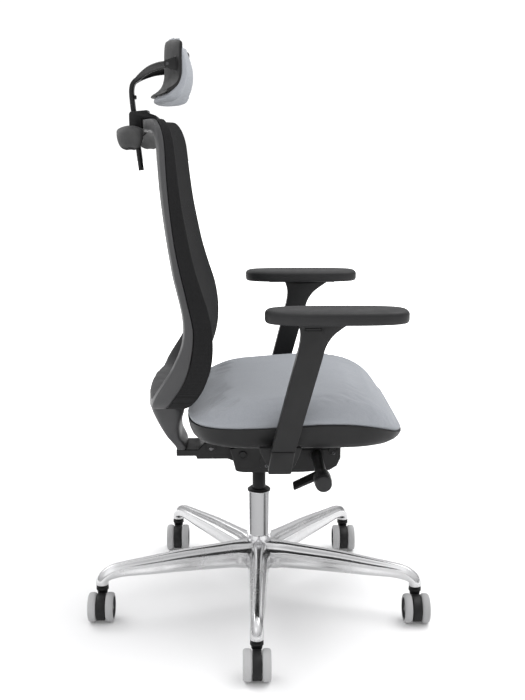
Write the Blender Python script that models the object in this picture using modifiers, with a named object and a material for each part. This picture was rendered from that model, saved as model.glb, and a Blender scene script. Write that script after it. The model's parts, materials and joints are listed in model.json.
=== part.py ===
"""Ergonomic office chair on a polished five-arm base, with synchro recline, slanted
height-adjustable armrests, a mesh back, a tilting headrest and a coat hanger.

Units are metres, +Z is up, -Y is the front of the chair and -X the sitter's right.
Every piece is modelled round the column's axis; ORIGIN then puts the middle of the
chair's footprint at the world's origin.
"""

import math

import bmesh
import bpy
from mathutils import Vector

# ------------------------------------------------------------------ shared clearances
GAP = 0.0003            # between pieces that seat on each other
RUN = 0.0006            # round pins, shafts and rods that turn or slide

# ------------------------------------------------------------------ base and casters
COLUMN_X = 0.0280       # the casters trail to -X, so the column stands off the middle
ORIGIN = Vector((COLUMN_X, 0.0, 0.0))
ARMS = 5
STEM_CIRCLE_R = 0.340
BASE_TURN = math.radians(1.6)
FOOT_Z = 0.0710         # underside of each arm's foot
FOOT_R = 0.0130
HUB_TOP_Z = 0.1345
HUB_BOTTOM_Z = 0.0660
HUB_WALL = 0.0090
BOSS_WALL = 0.0040
ARM_ROOT_HALF_DEPTH = 0.0290
ARM_ROOT_HALF_WIDTH = 0.0225
ARM_MID_Z = 0.1025

WHEEL_R = 0.0305
WHEEL_WIDTH = 0.0165
WHEEL_SIDES = 20
WHEEL_TRAIL = 0.0220
HOOD_WIDTH = 0.0175
WHEEL_PLAY = 0.0008     # between a hood and its wheels
AXLE_R = 0.0032
AXLE_Z = WHEEL_R * math.cos(math.pi / WHEEL_SIDES)
STEM_R = 0.0055
STEM_LENGTH = 0.0180
COLLAR_R = 0.0125
HOOD_INSET = 0.0020

# ------------------------------------------------------------------ gas lift
TUBE_R = 0.0250
TUBE_WALL = 0.0015
TUBE_TOP_Z = 0.2410
TUBE_TAPER_R = 0.0212   # outside, at the hub's underside
TUBE_FLOOR = 0.0030
BUSH_LENGTH = 0.0700
BUSH_FLANGE = 0.0050
CYLINDER_R = 0.0140
CYLINDER_BOTTOM_Z = 0.1250
CYLINDER_TAPER_R = 0.0128
ROD_R = 0.0050
ROD_TOP_Z = 0.2680
ROD_COLLAR_R = 0.0100
ROD_COLLAR = 0.0030
BEARING_R = 0.0150
BEARING_HEIGHT = 0.0044
VALVE_PIN_R = 0.0036
VALVE_SHOULDER = 0.0100

# ------------------------------------------------------------------ mechanism
HOUSING_BOTTOM_Z = 0.2980
HOUSING_TOP_Z = 0.3540
HOUSING_FRONT_Y = -0.1680
HOUSING_REAR_Y = 0.0620
HOUSING_HALF_WIDTH = 0.0600
HOUSING_WALL = 0.0050
SOCKET_TOP_Z = 0.3380
SOCKET_WALL = 0.0050
BACK_PIVOT = (0.0340, 0.3360)       # y, z
SEAT_PIVOT = (-0.1500, 0.3450)
LINK_PIVOT = (0.1000, 0.3470)
CONTROL_AXIS = (-0.1180, 0.3370)
ROCKER_PIVOT = (-0.0550, 0.3515)
PIN_R = 0.0050
LINK_PIN_R = 0.0040
LINK_PLAY = 0.0030
LINK_LIFT = 0.0008
SPRING_WIRE_R = 0.0016
SPRING_R = 0.0095
SPRING_TURNS = 3
SPRING_X = 0.0270
TENSION_SHAFT_R = 0.0050
KNOB_R = 0.0170
KNOB_LENGTH = 0.0550
KNOB_END_X = 0.2500
SLEEVE_R = 0.0110
PADDLE_LENGTH = 0.0440
PADDLE_WIDTH = 0.0360
PADDLE_THICKNESS = 0.0085
PADDLE_DROP = math.radians(24.0)
CRANK_REACH = 0.0145     # from the control axis to the crank's nose
ROCKER_FRONT_Y = -0.1100
ROCKER_PIN_R = 0.0020
ROCKER_PIN_DROP = 0.0035
WEDGE_SIZE = (0.0180, 0.0220, 0.0200)
ROCKER_HALF_WIDTH = 0.0060
ROCKER_THICKNESS = 0.0045

# ------------------------------------------------------------------ back bar
BAR_HALF_WIDTH = 0.0440
BAR_WALL = 0.0060
BAR_REAR_Y = 0.1720
BAR_TOP_Z = 0.3435      # seat of the back's foot

# ------------------------------------------------------------------ seat
SEAT_HALF_WIDTH = 0.2450
SEAT_FRONT_Y = -0.2830
SEAT_REAR_Y = 0.1450
SHELL_BOTTOM_Z = 0.3970
SHELL_WALL = 0.0030
PAN_THICKNESS = 0.0100
PLATE_THICKNESS = 0.0050
PLATE_HALF_WIDTH = 0.0780
EAR_X = 0.0475          # inner face of the seat plate's ears
EAR_THICKNESS = 0.0050
SEAT_SIDES = 36
SEAM = ((-0.283, 0.4120), (-0.240, 0.4340), (-0.190, 0.4470), (-0.130, 0.4510),
        (0.000, 0.4440), (0.145, 0.4390))
CROWN = ((-0.283, 0.4160), (-0.262, 0.4560), (-0.230, 0.4830), (-0.190, 0.4930),
         (-0.100, 0.4970), (0.000, 0.4930), (0.090, 0.4880), (0.145, 0.4720))

# ------------------------------------------------------------------ armrests
ARM_STANDOFF = 0.0130   # from the seat's side to each post
POST_THICKNESS = 0.0280
ARM_X = SEAT_HALF_WIDTH + ARM_STANDOFF + POST_THICKNESS / 2.0
POST_REAR_Y = -0.0190   # the post's edges at its foot's seam
POST_FRONT_Y = -0.0620
POST_MIDDLE_Y = (POST_REAR_Y + POST_FRONT_Y) / 2.0
POST_STRAIGHT = 0.1920  # height of its straight rear edge
HEAD_CURVE = ((-0.0705, 0.0280), (-0.0690, 0.0150), (-0.0640, 0.0000), (-0.1630, 0.0000),
              (-0.1430, 0.0135), (-0.1275, 0.0270), (-0.1160, 0.0460), (-0.1095, 0.0690))
FOOT_TAPER = 0.0040
ELBOW_TOP = (0.0030, -0.0750)       # the elbow's edges at the seam and at its bottom
ELBOW_LOW = (-0.0150, -0.0600)
POST_LEAN = math.radians(14.3)
POST_SEAM_Z = 0.4125
FOOT_BOTTOM_Z = 0.3690
POST_HEAD_Z = 0.6530
STEM_BAR = (0.0120, 0.0260)         # thickness, depth
STEM_TOP_Z = 0.5600
BRACKET_THICKNESS = 0.0100
BRACKET_Y = -0.0370
BRACKET_DEPTH = 0.0500
BUTTON_SIZE = (0.0100, 0.0300, 0.0046)
BUTTON_Y = -0.0930
BUTTON_Z = 0.6400
BUTTON_TRAVEL = 0.0025
PAD_SHIFT = 0.0170      # the pads stand outside the posts
PAD_X = ARM_X + PAD_SHIFT
PAD_BASE_X = ARM_X + 0.0020
PAD_LENGTH = 0.2590
PAD_WIDTH = 0.0940
PAD_BOTTOM_Z = 0.6540
PAD_THICKNESS = 0.0250
PAD_MID_Y = -0.1185
PAD_OFFSET = 0.0160     # the right pad stands this far forward, the left this far back
PAD_BASE_SIZE = (0.0520, 0.1500, 0.0040)

# ------------------------------------------------------------------ back
BACK_TOP_Z = 1.0100
BACK_BOTTOM_Z = 0.4600
BACK_HALF_WIDTH = 0.2280
BACK_WAIST_Z = 0.6700
BACK_TAPER = 0.1000     # share of the width lost from the waist to the top
RIM_WIDTH = 0.0220
BACK_STEPS = (4, 6, 10)
BACK_CORNER_R = 0.0700
MESH_THICKNESS = 0.0025
MESH_INSETS = (0.0, RIM_WIDTH, 0.0850, 0.1500, 0.2140)
DISH_BOTTOM = 0.0200
DISH_TOP = 0.0450
REAR_LINE = ((0.450, 0.2040), (0.490, 0.2020), (0.549, 0.1650), (0.600, 0.1440),
             (0.640, 0.1410), (0.735, 0.1620), (0.880, 0.1810), (1.010, 0.1870))
SPLIT_LINE = ((0.450, 0.1820), (0.483, 0.1700), (0.530, 0.1440), (0.575, 0.1300),
              (0.625, 0.1245), (0.680, 0.1340), (0.771, 0.1540), (0.870, 0.1640),
              (1.010, 0.1710))
FRONT_LINE = ((0.450, 0.1450), (0.482, 0.1240), (0.518, 0.1050), (0.560, 0.0910),
              (0.610, 0.0870), (0.670, 0.0790), (0.732, 0.0930), (0.826, 0.1220),
              (0.930, 0.1390), (1.010, 0.1500))

# z, rear and front y and half width of the leg, from its foot's bevel to the frame
LEG_FOOT = (0.1720, 0.1520, 0.0480)
LEG_SECTIONS = ((0.3518, 0.1760, 0.1520, 0.0500), (0.3750, 0.1920, 0.1650, 0.0620),
                (0.4000, 0.2050, 0.1670, 0.0760), (0.4280, 0.2170, 0.1680, 0.0900),
                (0.4450, 0.2220, 0.1720, 0.0970), (0.4500, 0.2235, 0.2030, 0.0990),
                (0.4800, 0.2210, 0.2020, 0.1000))

# ------------------------------------------------------------------ headrest and hanger
POST_WIDTH = 0.0260
POST_DEPTH = 0.0095
POST_BOTTOM_Z = 0.9130
POST_TILT = math.radians(6.2)       # from upright, backwards
POST_BOTTOM_Y = 0.2350
POST_BEND_Z = 1.0520
# y, z and slope of the post's sections over its bend
POST_BEND = ((0.2500, 1.0720, -0.30), (0.2440, 1.0850, -0.85), (0.2330, 1.0920, -1.15))
# y, z, slope, half width, half depth and x of each prong's sections, up to its eye
PRONG_SECTIONS = ((0.2430, 1.0850, -0.90, 0.0066, 0.0040, 0.0060),
                  (0.2300, 1.0950, -1.10, 0.0068, 0.0054, 0.0200),
                  (0.2100, 1.1050, -1.20, 0.0066, 0.0064, 0.0500),
                  (0.1880, 1.1100, -1.35, 0.0060, 0.0066, 0.0800))
CLAMP_BOTTOM_Z = BACK_TOP_Z - 0.0160
CLAMP_TOP_Z = BACK_TOP_Z + 0.0170
CLAMP_HALF_WIDTH = 0.0280
HEAD_HALF_WIDTH = 0.1250
HEAD_DISH = 0.0360
HEAD_REAR_Y = 0.1850
HEAD_MIDDLE = (0.1700, 1.1000)
HEAD_SHELL = ((0.1830, 1.1560), (0.1850, 1.1380), (0.1852, 1.0900), (0.1900, 1.0740),
              (0.1990, 1.0640), (0.2130, 1.0560), (0.2120, 1.0515), (0.1960, 1.0590),
              (0.1856, 1.0710), (0.1810, 1.0890), (0.1810, 1.1380), (0.1790, 1.1570))
HEAD_CUSHION = ((0.1787, 1.1600), (0.1805, 1.1380), (0.1805, 1.0890), (0.1845, 1.0715),
                (0.1955, 1.0585), (0.2060, 1.0520), (0.2080, 1.0420), (0.1900, 1.0380),
                (0.1740, 1.0470), (0.1620, 1.0640), (0.1560, 1.0900), (0.1560, 1.1150),
                (0.1620, 1.1380), (0.1680, 1.1580), (0.1740, 1.1640))
HEAD_PIVOT = (0.1715, 1.1110)
PRONG_X = 0.1020
PRONG_EYE_R = 0.0068
PRONG_EYE_LENGTH = 0.0110
HEAD_PIN_R = 0.0030
HEAD_EAR_THICKNESS = 0.0050
HEAD_EAR_X = PRONG_X + (PRONG_EYE_LENGTH + HEAD_EAR_THICKNESS) / 2.0 + 2.0 * GAP
HEAD_PIN_LENGTH = 0.0200
HANGER_HALF_SPAN = 0.2000
HANGER_THICKNESS = 0.0045
HANGER_Z = CLAMP_BOTTOM_Z - 0.0090
HANGER_COLLAR = 0.0240
HANGER_Y = 0.2480
HANGER_SWEEP = 0.0140   # how far each tip stands in front of the middle
# share of the half span and depth of a wing there
HANGER_CHORDS = ((0.12, 0.0300), (0.35, 0.0420), (0.65, 0.0500), (0.90, 0.0400), (1.0, 0.0220))
HANGER_ARC = ((0.0, 0.0000), (0.15, 0.0020), (0.40, 0.0140), (0.70, 0.0060), (1.0, -0.0260))

PARTS = None
CUTTERS = None


# ------------------------------------------------------------------ small tools
def start_scene():
    """Empty the scene and make the two collections."""
    global PARTS, CUTTERS
    for obj in list(bpy.data.objects):
        bpy.data.objects.remove(obj, do_unlink=True)
    PARTS = bpy.data.collections.new("office_chair")
    CUTTERS = bpy.data.collections.new("cutters")
    bpy.context.scene.collection.children.link(PARTS)
    bpy.context.scene.collection.children.link(CUTTERS)


def material(name, colour, roughness, metallic=0.0):
    """A Principled material of one colour."""
    made = bpy.data.materials.new(name)
    made.use_nodes = True
    shader = made.node_tree.nodes["Principled BSDF"]
    shader.inputs["Base Color"].default_value = (*colour, 1.0)
    shader.inputs["Roughness"].default_value = roughness
    shader.inputs["Metallic"].default_value = metallic
    return made


def curve_at(points, x):
    """Height of a smooth line through the points, flat beyond both ends."""
    if x <= points[0][0]:
        return points[0][1]
    if x >= points[-1][0]:
        return points[-1][1]
    slopes = [(b[1] - a[1]) / (b[0] - a[0]) for a, b in zip(points, points[1:])]
    for i, (a, b) in enumerate(zip(points, points[1:])):
        if x <= b[0]:
            break
    left = 0.5 * (slopes[max(i - 1, 0)] + slopes[i])
    right = 0.5 * (slopes[i] + slopes[min(i + 1, len(slopes) - 1)])
    width = b[0] - a[0]
    t = (x - a[0]) / width
    return ((2 * t**3 - 3 * t**2 + 1) * a[1] + (t**3 - 2 * t**2 + t) * width * left
            + (3 * t**2 - 2 * t**3) * b[1] + (t**3 - t**2) * width * right)


def signed_power(value, power):
    return math.copysign(abs(value) ** power, value)


def rounded_outline(half_x, half_y, squareness, count, middle=(0.0, 0.0)):
    """Points of a superellipse, counter-clockwise from +X."""
    points = []
    for i in range(count):
        angle = 2.0 * math.pi * (i + 0.5) / count
        x = middle[0] + half_x * signed_power(math.cos(angle), 2.0 / squareness)
        y = middle[1] + half_y * signed_power(math.sin(angle), 2.0 / squareness)
        points.append((x, y))
    return points


def rounded_rectangle(half_x, half_y, radius, steps):
    """Outline from the +X side's top; steps count the corner, top and side pieces."""
    corner_steps, top_steps, side_steps = steps
    points = []
    for index, (sx, sy) in enumerate(((1, 1), (-1, 1), (-1, -1), (1, -1))):
        middle = (sx * (half_x - radius), sy * (half_y - radius))
        for i in range(corner_steps + 1):
            angle = 0.5 * math.pi * (index + i / corner_steps)
            points.append((middle[0] + radius * math.cos(angle),
                           middle[1] + radius * math.sin(angle)))
        start = points[-1]
        along_x = index % 2 == 0
        count = top_steps if along_x else side_steps
        length = 2.0 * ((half_x if along_x else half_y) - radius)
        for i in range(1, count):
            shift = length * i / count * (-sx if along_x else -sy)
            points.append((start[0] + shift, start[1]) if along_x
                          else (start[0], start[1] + shift))
    return points


def mesh_object(name, bm, location=(0.0, 0.0, 0.0)):
    """An object of the bmesh, in the column's frame, with its faces outward."""
    mesh = bpy.data.meshes.new(name)
    bmesh.ops.recalc_face_normals(bm, faces=bm.faces)
    bm.to_mesh(mesh)
    bm.free()
    obj = bpy.data.objects.new(name, mesh)
    obj.location = ORIGIN + Vector(location)
    PARTS.objects.link(obj)
    return obj


def loft(name, rings, closed=False):
    """A solid through rings of as many points each: capped, or joined end to start."""
    bm = bmesh.new()
    rows = [[bm.verts.new(point) for point in ring] for ring in rings]
    pairs = list(zip(rows, rows[1:]))
    if closed:
        pairs.append((rows[-1], rows[0]))
    for low, high in pairs:
        for i in range(len(low)):
            j = (i + 1) % len(low)
            bm.faces.new((low[i], low[j], high[j], high[i]))
    if not closed:
        bm.faces.new(rows[0][::-1])
        bm.faces.new(rows[-1])
    bmesh.ops.triangulate(bm, faces=bm.faces, quad_method="SHORT_EDGE")
    return mesh_object(name, bm)


def turned(name, profile, steps, ring=True, axis="Z", location=(0.0, 0.0, 0.0), phase=0.0):
    """A Screw of (radius, height) points; a ring's profile closes on itself."""
    points = [(radius, 0.0, height) for radius, height in profile]
    edges = [(i, i + 1) for i in range(len(points) - 1)]
    if ring:
        edges.append((len(points) - 1, 0))
    mesh = bpy.data.meshes.new(name)
    mesh.from_pydata(points, edges, [])
    obj = bpy.data.objects.new(name, mesh)
    obj.location = ORIGIN + Vector(location)
    obj.rotation_mode = "QUATERNION"
    turn = {"Z": Vector((0, 0, 1)), "Y": Vector((0, 1, 0)), "X": Vector((1, 0, 0))}[axis]
    spin = Vector((0, 0, 1)).rotation_difference(turn)
    own = Vector((1, 0, 0)).rotation_difference(Vector((math.cos(phase), math.sin(phase), 0)))
    obj.rotation_quaternion = spin @ own
    screw = obj.modifiers.new("turn", "SCREW")
    screw.steps = steps
    screw.render_steps = steps
    screw.use_merge_vertices = True
    screw.merge_threshold = 0.00001
    PARTS.objects.link(obj)
    return obj


def cylinder(name, radius, length, location, axis="X", sides=16):
    """A round bar centred on the location."""
    bm = bmesh.new()
    bmesh.ops.create_cone(bm, cap_ends=True, segments=sides, radius1=radius,
                          radius2=radius, depth=length)
    obj = mesh_object(name, bm, location)
    if axis == "X":
        obj.rotation_euler = (0.0, math.radians(90.0), 0.0)
    if axis == "Y":
        obj.rotation_euler = (math.radians(90.0), 0.0, 0.0)
    return obj


def box(name, size, location, bevel=0.0, tilt=0.0):
    """A block centred on the location, tilted about X."""
    bm = bmesh.new()
    bmesh.ops.create_cube(bm, size=1.0)
    bmesh.ops.scale(bm, vec=size, verts=bm.verts)
    obj = mesh_object(name, bm, location)
    obj.rotation_euler = (tilt, 0.0, 0.0)
    if bevel:
        add_bevel(obj, bevel)
    return obj


def add_bevel(obj, width, segments=1, angle=40.0):
    bevel = obj.modifiers.new("edges", "BEVEL")
    bevel.width = width
    bevel.segments = segments
    bevel.limit_method = "ANGLE"
    bevel.angle_limit = math.radians(angle)
    return bevel


def side_plate(name, outline, thickness, x=0.0, bevel=0.0):
    """A flat outline of (y, z) points, thick along X and centred on x."""
    curve = bpy.data.curves.new(name, "CURVE")
    curve.dimensions = "2D"
    curve.fill_mode = "BOTH"
    curve.extrude = thickness / 2.0
    spline = curve.splines.new("POLY")
    spline.points.add(len(outline) - 1)
    for point, (y, z) in zip(spline.points, outline):
        point.co = (y, z, 0.0, 1.0)
    spline.use_cyclic_u = True
    drawn = bpy.data.objects.new(name + "_outline", curve)
    drawn.location = ORIGIN + Vector((x, 0.0, 0.0))
    drawn.rotation_euler = (math.radians(90.0), 0.0, math.radians(90.0))
    PARTS.objects.link(drawn)
    obj = curve_to_mesh(name, drawn)
    if bevel:
        add_bevel(obj, bevel)
    return obj


def curve_to_mesh(name, drawn):
    """A welded mesh object in the curve's place; the curve is removed."""
    bpy.context.view_layer.update()
    evaluated = drawn.evaluated_get(bpy.context.evaluated_depsgraph_get())
    mesh = bpy.data.meshes.new_from_object(evaluated)
    mesh.name = name
    bm = bmesh.new()
    bm.from_mesh(mesh)
    bmesh.ops.remove_doubles(bm, verts=bm.verts, dist=0.00001)
    bmesh.ops.recalc_face_normals(bm, faces=bm.faces)
    bm.to_mesh(mesh)
    bm.free()
    obj = bpy.data.objects.new(name, mesh)
    obj.matrix_world = drawn.matrix_world
    PARTS.objects.link(obj)
    bpy.data.objects.remove(drawn, do_unlink=True)
    return obj


def wire(name, points, radius):
    """A round wire through the points, with closed ends."""
    curve = bpy.data.curves.new(name, "CURVE")
    curve.dimensions = "3D"
    curve.bevel_depth = radius
    curve.bevel_resolution = 1
    curve.use_fill_caps = True
    spline = curve.splines.new("POLY")
    spline.points.add(len(points) - 1)
    for point, place in zip(spline.points, points):
        point.co = (*place, 1.0)
    obj = bpy.data.objects.new(name, curve)
    obj.location = ORIGIN
    PARTS.objects.link(obj)
    return obj


def combine(obj, other, operation):
    """Boolean the other into the object and put it with the cutters."""
    step = obj.modifiers.new(other.name, "BOOLEAN")
    step.operation = operation
    step.solver = "EXACT"
    step.object = other
    PARTS.objects.unlink(other)
    CUTTERS.objects.link(other)
    other.hide_render = True
    other.display_type = "WIRE"


def cut(obj, *cutters):
    for cutter in cutters:
        combine(obj, cutter, "DIFFERENCE")


def join(obj, *pieces):
    for piece in pieces:
        combine(obj, piece, "UNION")


def joint(name, location, parent):
    """An empty on a joint's axis."""
    empty = bpy.data.objects.new(name, None)
    empty.empty_display_size = 0.02
    PARTS.objects.link(empty)
    empty.location = ORIGIN + Vector(location)
    if parent:
        hold(empty, parent)
    return empty


def hold(obj, parent):
    """Parent the object and keep it where it stands; an empty is never rotated."""
    bpy.context.view_layer.update()
    obj.parent = parent
    obj.matrix_parent_inverse = parent.matrix_world.inverted()


def finish(obj, finish_material, parent, smooth=None):
    """Give the piece its material, its shading and its place in the tree."""
    obj.data.materials.clear()
    obj.data.materials.append(finish_material)
    if smooth and obj.type == "MESH":
        obj.data.shade_smooth()
        obj.data.set_sharp_from_angle(angle=math.radians(smooth))
    hold(obj, parent)
    return obj


def bore_radius(shaft_radius, sides):
    """Radius of a faceted bore in which a faceted shaft turns freely."""
    return shaft_radius / math.cos(math.pi / sides) + RUN / 2.0


# ------------------------------------------------------------------ star base
def arm_section(half_depth, half_width, roundness):
    """Ten (lateral, normal) points: a ridged bar that blends into a round foot."""
    bar = ((-0.74, -1.0), (0.74, -1.0), (1.0, -0.40), (0.86, 0.36), (0.52, 0.60),
           (0.34, 1.0), (-0.34, 1.0), (-0.52, 0.60), (-0.86, 0.36), (-1.0, -0.40))
    angles = (-126, -54, -18, 18, 50, 78, 102, 130, 162, 198)
    section = []
    for (across, up), degrees in zip(bar, angles):
        angle = math.radians(degrees)
        across += roundness * (math.cos(angle) - across)
        up += roundness * (math.sin(angle) - up)
        section.append((across * half_width, up * half_depth))
    return section


def arm_stations():
    """(reach, height, slope in degrees, half depth, half width, roundness)."""
    root = (0.018, ARM_MID_Z - 0.002, 0.0, ARM_ROOT_HALF_DEPTH, ARM_ROOT_HALF_WIDTH, 0.0)
    reach = STEM_CIRCLE_R
    return (
        root,
        (reach * 0.27, ARM_MID_Z, -1.0, ARM_ROOT_HALF_DEPTH * 0.88,
         ARM_ROOT_HALF_WIDTH * 0.90, 0.0),
        (reach * 0.50, ARM_MID_Z, -3.0, ARM_ROOT_HALF_DEPTH * 0.77,
         ARM_ROOT_HALF_WIDTH * 0.79, 0.0),
        (reach * 0.72, ARM_MID_Z - 0.0022, -4.0, ARM_ROOT_HALF_DEPTH * 0.62,
         ARM_ROOT_HALF_WIDTH * 0.69, 0.0),
        (reach - 0.048, FOOT_Z + 0.0280, -6.0, 0.0152, FOOT_R + 0.0008, 0.15),
        (reach - 0.024, FOOT_Z + 0.0247, -25.0, 0.0148, FOOT_R + 0.0003, 0.40),
        (reach - 0.008, FOOT_Z + 0.0168, -55.0, 0.0140, FOOT_R, 0.80),
        (reach - 0.0005, FOOT_Z + 0.0080, -82.0, FOOT_R, FOOT_R, 1.0),
        (reach, FOOT_Z, -90.0, FOOT_R, FOOT_R, 1.0),
    )


def arm_angle(k):
    """Direction of arm k from the column, measured from +X."""
    return math.pi - BASE_TURN - 2.0 * math.pi * k / ARMS


def base_arm(k):
    heading = arm_angle(k)
    along = (math.cos(heading), math.sin(heading))
    rings = []
    for reach, height, degrees, half_depth, half_width, roundness in arm_stations():
        slope = math.radians(degrees)
        ring = []
        for across, up in arm_section(half_depth, half_width, roundness):
            out = reach - up * math.sin(slope)
            ring.append((out * along[0] - across * along[1],
                         out * along[1] + across * along[0],
                         height + up * math.cos(slope)))
        rings.append(ring)
    return loft("base_arm_%d" % (k + 1), rings)


def stem_place(k):
    heading = arm_angle(k)
    return (STEM_CIRCLE_R * math.cos(heading), STEM_CIRCLE_R * math.sin(heading))


def tube_radius(z):
    """Outside of the lift tube: straight above the hub, tapered inside it."""
    share = min(max((HUB_TOP_Z - z) / (HUB_TOP_Z - HUB_BOTTOM_Z), 0.0), 1.0)
    return TUBE_R + share * (TUBE_TAPER_R - TUBE_R)


def star_base():
    top_r = TUBE_R + HUB_WALL
    boss_r = TUBE_TAPER_R + BOSS_WALL
    depth = HUB_TOP_Z - HUB_BOTTOM_Z
    profile = [(0.0, HUB_TOP_Z), (top_r, HUB_TOP_Z),
               (top_r + 0.0060, HUB_TOP_Z - 0.05 * depth),
               (top_r + 0.0085, HUB_TOP_Z - 0.40 * depth),
               (boss_r + 0.0120, HUB_BOTTOM_Z + 0.28 * depth),
               (boss_r, HUB_BOTTOM_Z), (0.0, HUB_BOTTOM_Z)]
    base = turned("star_base", profile, 20, ring=False)
    for k in range(ARMS):
        join(base, base_arm(k))
    reach = 0.0040
    taper = turned("hub_taper", [(0.0, HUB_TOP_Z + reach),
                                 (tube_radius(HUB_TOP_Z) + GAP, HUB_TOP_Z + reach),
                                 (tube_radius(HUB_TOP_Z) + GAP, HUB_TOP_Z),
                                 (tube_radius(HUB_BOTTOM_Z) + GAP, HUB_BOTTOM_Z),
                                 (tube_radius(HUB_BOTTOM_Z) + GAP, HUB_BOTTOM_Z - reach),
                                 (0.0, HUB_BOTTOM_Z - reach)], 24, ring=False)
    cut(base, taper)
    for k in range(ARMS):
        x, y = stem_place(k)
        depth = STEM_LENGTH + 2.0 * GAP
        bore = cylinder("stem_bore_%d" % (k + 1), bore_radius(STEM_R, 12), 2.0 * depth,
                        (x, y, FOOT_Z), axis="Z", sides=12)
        cut(base, bore)
    return base


# ------------------------------------------------------------------ casters
def hood_outline(middle_y, middle_z):
    """D-shaped web of the hood, seen along the axle: (trail direction, z) points."""
    radius = WHEEL_R - HOOD_INSET
    outer = []
    for i in range(11):
        angle = math.radians(52.0 + i * 17.6)
        outer.append((middle_y + radius * math.cos(angle), middle_z + radius * math.sin(angle)))
    heel = (middle_y - 0.0040, middle_z - 0.0190)
    toe = (middle_y + 0.0130, middle_z - 0.0040)
    boss = (COLLAR_R * 0.72, middle_z + 0.0080)
    return outer + [heel, toe, boss]


def caster_fork(k):
    """Hood, stem with its double collar and the two axle ends, turned as one."""
    x, y = stem_place(k)
    outline = hood_outline(-WHEEL_TRAIL, AXLE_Z)
    curve = bpy.data.curves.new("hood", "CURVE")
    curve.dimensions = "2D"
    curve.fill_mode = "BOTH"
    curve.extrude = HOOD_WIDTH / 2.0
    spline = curve.splines.new("POLY")
    spline.points.add(len(outline) - 1)
    for point, (out, up) in zip(spline.points, outline):
        point.co = (out, up, 0.0, 1.0)
    spline.use_cyclic_u = True
    drawn = bpy.data.objects.new("hood_outline", curve)
    drawn.location = ORIGIN + Vector((x, y, 0.0))
    drawn.rotation_euler = (math.radians(90.0), 0.0, 0.0)
    PARTS.objects.link(drawn)
    fork = curve_to_mesh("caster_fork_%d" % (k + 1), drawn)
    add_bevel(fork, 0.0012)
    hood_top = AXLE_Z + WHEEL_R - HOOD_INSET
    collar_top = FOOT_Z - GAP
    step = (collar_top - hood_top) / 2.0
    profile = [(0.0, FOOT_Z + STEM_LENGTH), (STEM_R, FOOT_Z + STEM_LENGTH),
               (STEM_R, collar_top), (COLLAR_R, collar_top),
               (COLLAR_R, collar_top - 0.8 * step), (COLLAR_R - 0.0012, collar_top - step),
               (COLLAR_R - 0.0010, hood_top - 0.0010), (COLLAR_R - 0.0040, AXLE_Z + 0.0150),
               (0.0, AXLE_Z + 0.0150)]
    join(fork, turned("stem_%d" % (k + 1), profile, 12, ring=False, location=(x, y, 0.0)))
    length = HOOD_WIDTH + 2.0 * (WHEEL_PLAY + WHEEL_WIDTH * 0.55)
    join(fork, cylinder("axle_%d" % (k + 1), AXLE_R, length,
                        (x - WHEEL_TRAIL, y, AXLE_Z), axis="Y", sides=10))
    return fork


def wheel_profile():
    """(radius, distance from the inner face), from the hub cap round the tyre."""
    bore = bore_radius(AXLE_R, 10)
    floor = WHEEL_WIDTH * 0.55 + RUN
    return [(0.0, WHEEL_WIDTH - 0.0030), (WHEEL_R - 0.0080, WHEEL_WIDTH - 0.0030),
            (WHEEL_R - 0.0060, WHEEL_WIDTH), (WHEEL_R - 0.0020, WHEEL_WIDTH - 0.0010),
            (WHEEL_R, WHEEL_WIDTH - 0.0050), (WHEEL_R, 0.0036),
            (WHEEL_R - 0.0034, 0.0), (bore, 0.0), (bore, floor), (0.0, floor)]


def caster_wheel(k, side):
    """One of a twin pair: side is -1 towards -Y and +1 towards +Y."""
    x, y = stem_place(k)
    name = "caster_wheel_%d%s" % (k + 1, "a" if side < 0 else "b")
    inner = y + side * (HOOD_WIDTH / 2.0 + WHEEL_PLAY)
    profile = wheel_profile()
    wheel = turned(name, profile, WHEEL_SIDES, ring=False)
    wheel.location = ORIGIN + Vector((x - WHEEL_TRAIL, inner, AXLE_Z))
    wheel.rotation_mode = "XYZ"
    half_facet = math.pi / WHEEL_SIDES
    wheel.rotation_euler = (-side * math.radians(90.0), half_facet, 0.0)
    return wheel


# ------------------------------------------------------------------ gas lift
def lift_tube():
    bore = TUBE_R - TUBE_WALL
    neck = TUBE_TOP_Z - BUSH_LENGTH
    bottom = HUB_BOTTOM_Z + 0.0005
    profile = [(TUBE_R - 0.0008, TUBE_TOP_Z), (TUBE_R, TUBE_TOP_Z - 0.0015),
               (TUBE_R, HUB_TOP_Z + 0.0010), (tube_radius(HUB_TOP_Z), HUB_TOP_Z),
               (tube_radius(bottom), bottom), (ROD_R + 0.0012, bottom),
               (ROD_R + 0.0012, bottom + TUBE_FLOOR),
               (TUBE_TAPER_R - 0.0025, bottom + TUBE_FLOOR),
               (bore - 0.0020, neck - 0.0100), (bore, neck - 0.0010), (bore, TUBE_TOP_Z)]
    return turned("lift_tube", profile, 24)


def lift_bush():
    """Plastic guide in the tube's mouth, with a flange on its rim."""
    outer = TUBE_R - TUBE_WALL - GAP
    inner = bore_radius(CYLINDER_R, 24)
    flange = TUBE_TOP_Z + GAP
    profile = [(inner + 0.0020, flange + BUSH_FLANGE), (TUBE_R - 0.0030, flange + BUSH_FLANGE),
               (TUBE_R - 0.0004, flange + 0.0015), (TUBE_R - 0.0004, flange),
               (outer, flange), (outer, TUBE_TOP_Z - BUSH_LENGTH + 0.0010),
               (inner, TUBE_TOP_Z - BUSH_LENGTH + 0.0010), (inner, flange + 0.0030)]
    return turned("lift_bush", profile, 24)


def bearing_bottom():
    return HUB_BOTTOM_Z + 0.0005 + TUBE_FLOOR + GAP


def thrust_bearing():
    low = bearing_bottom()
    profile = [(BEARING_R, low + BEARING_HEIGHT), (BEARING_R, low),
               (ROD_R + 0.0008, low), (ROD_R + 0.0008, low + BEARING_HEIGHT)]
    return turned("thrust_bearing", profile, 16)


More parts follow.
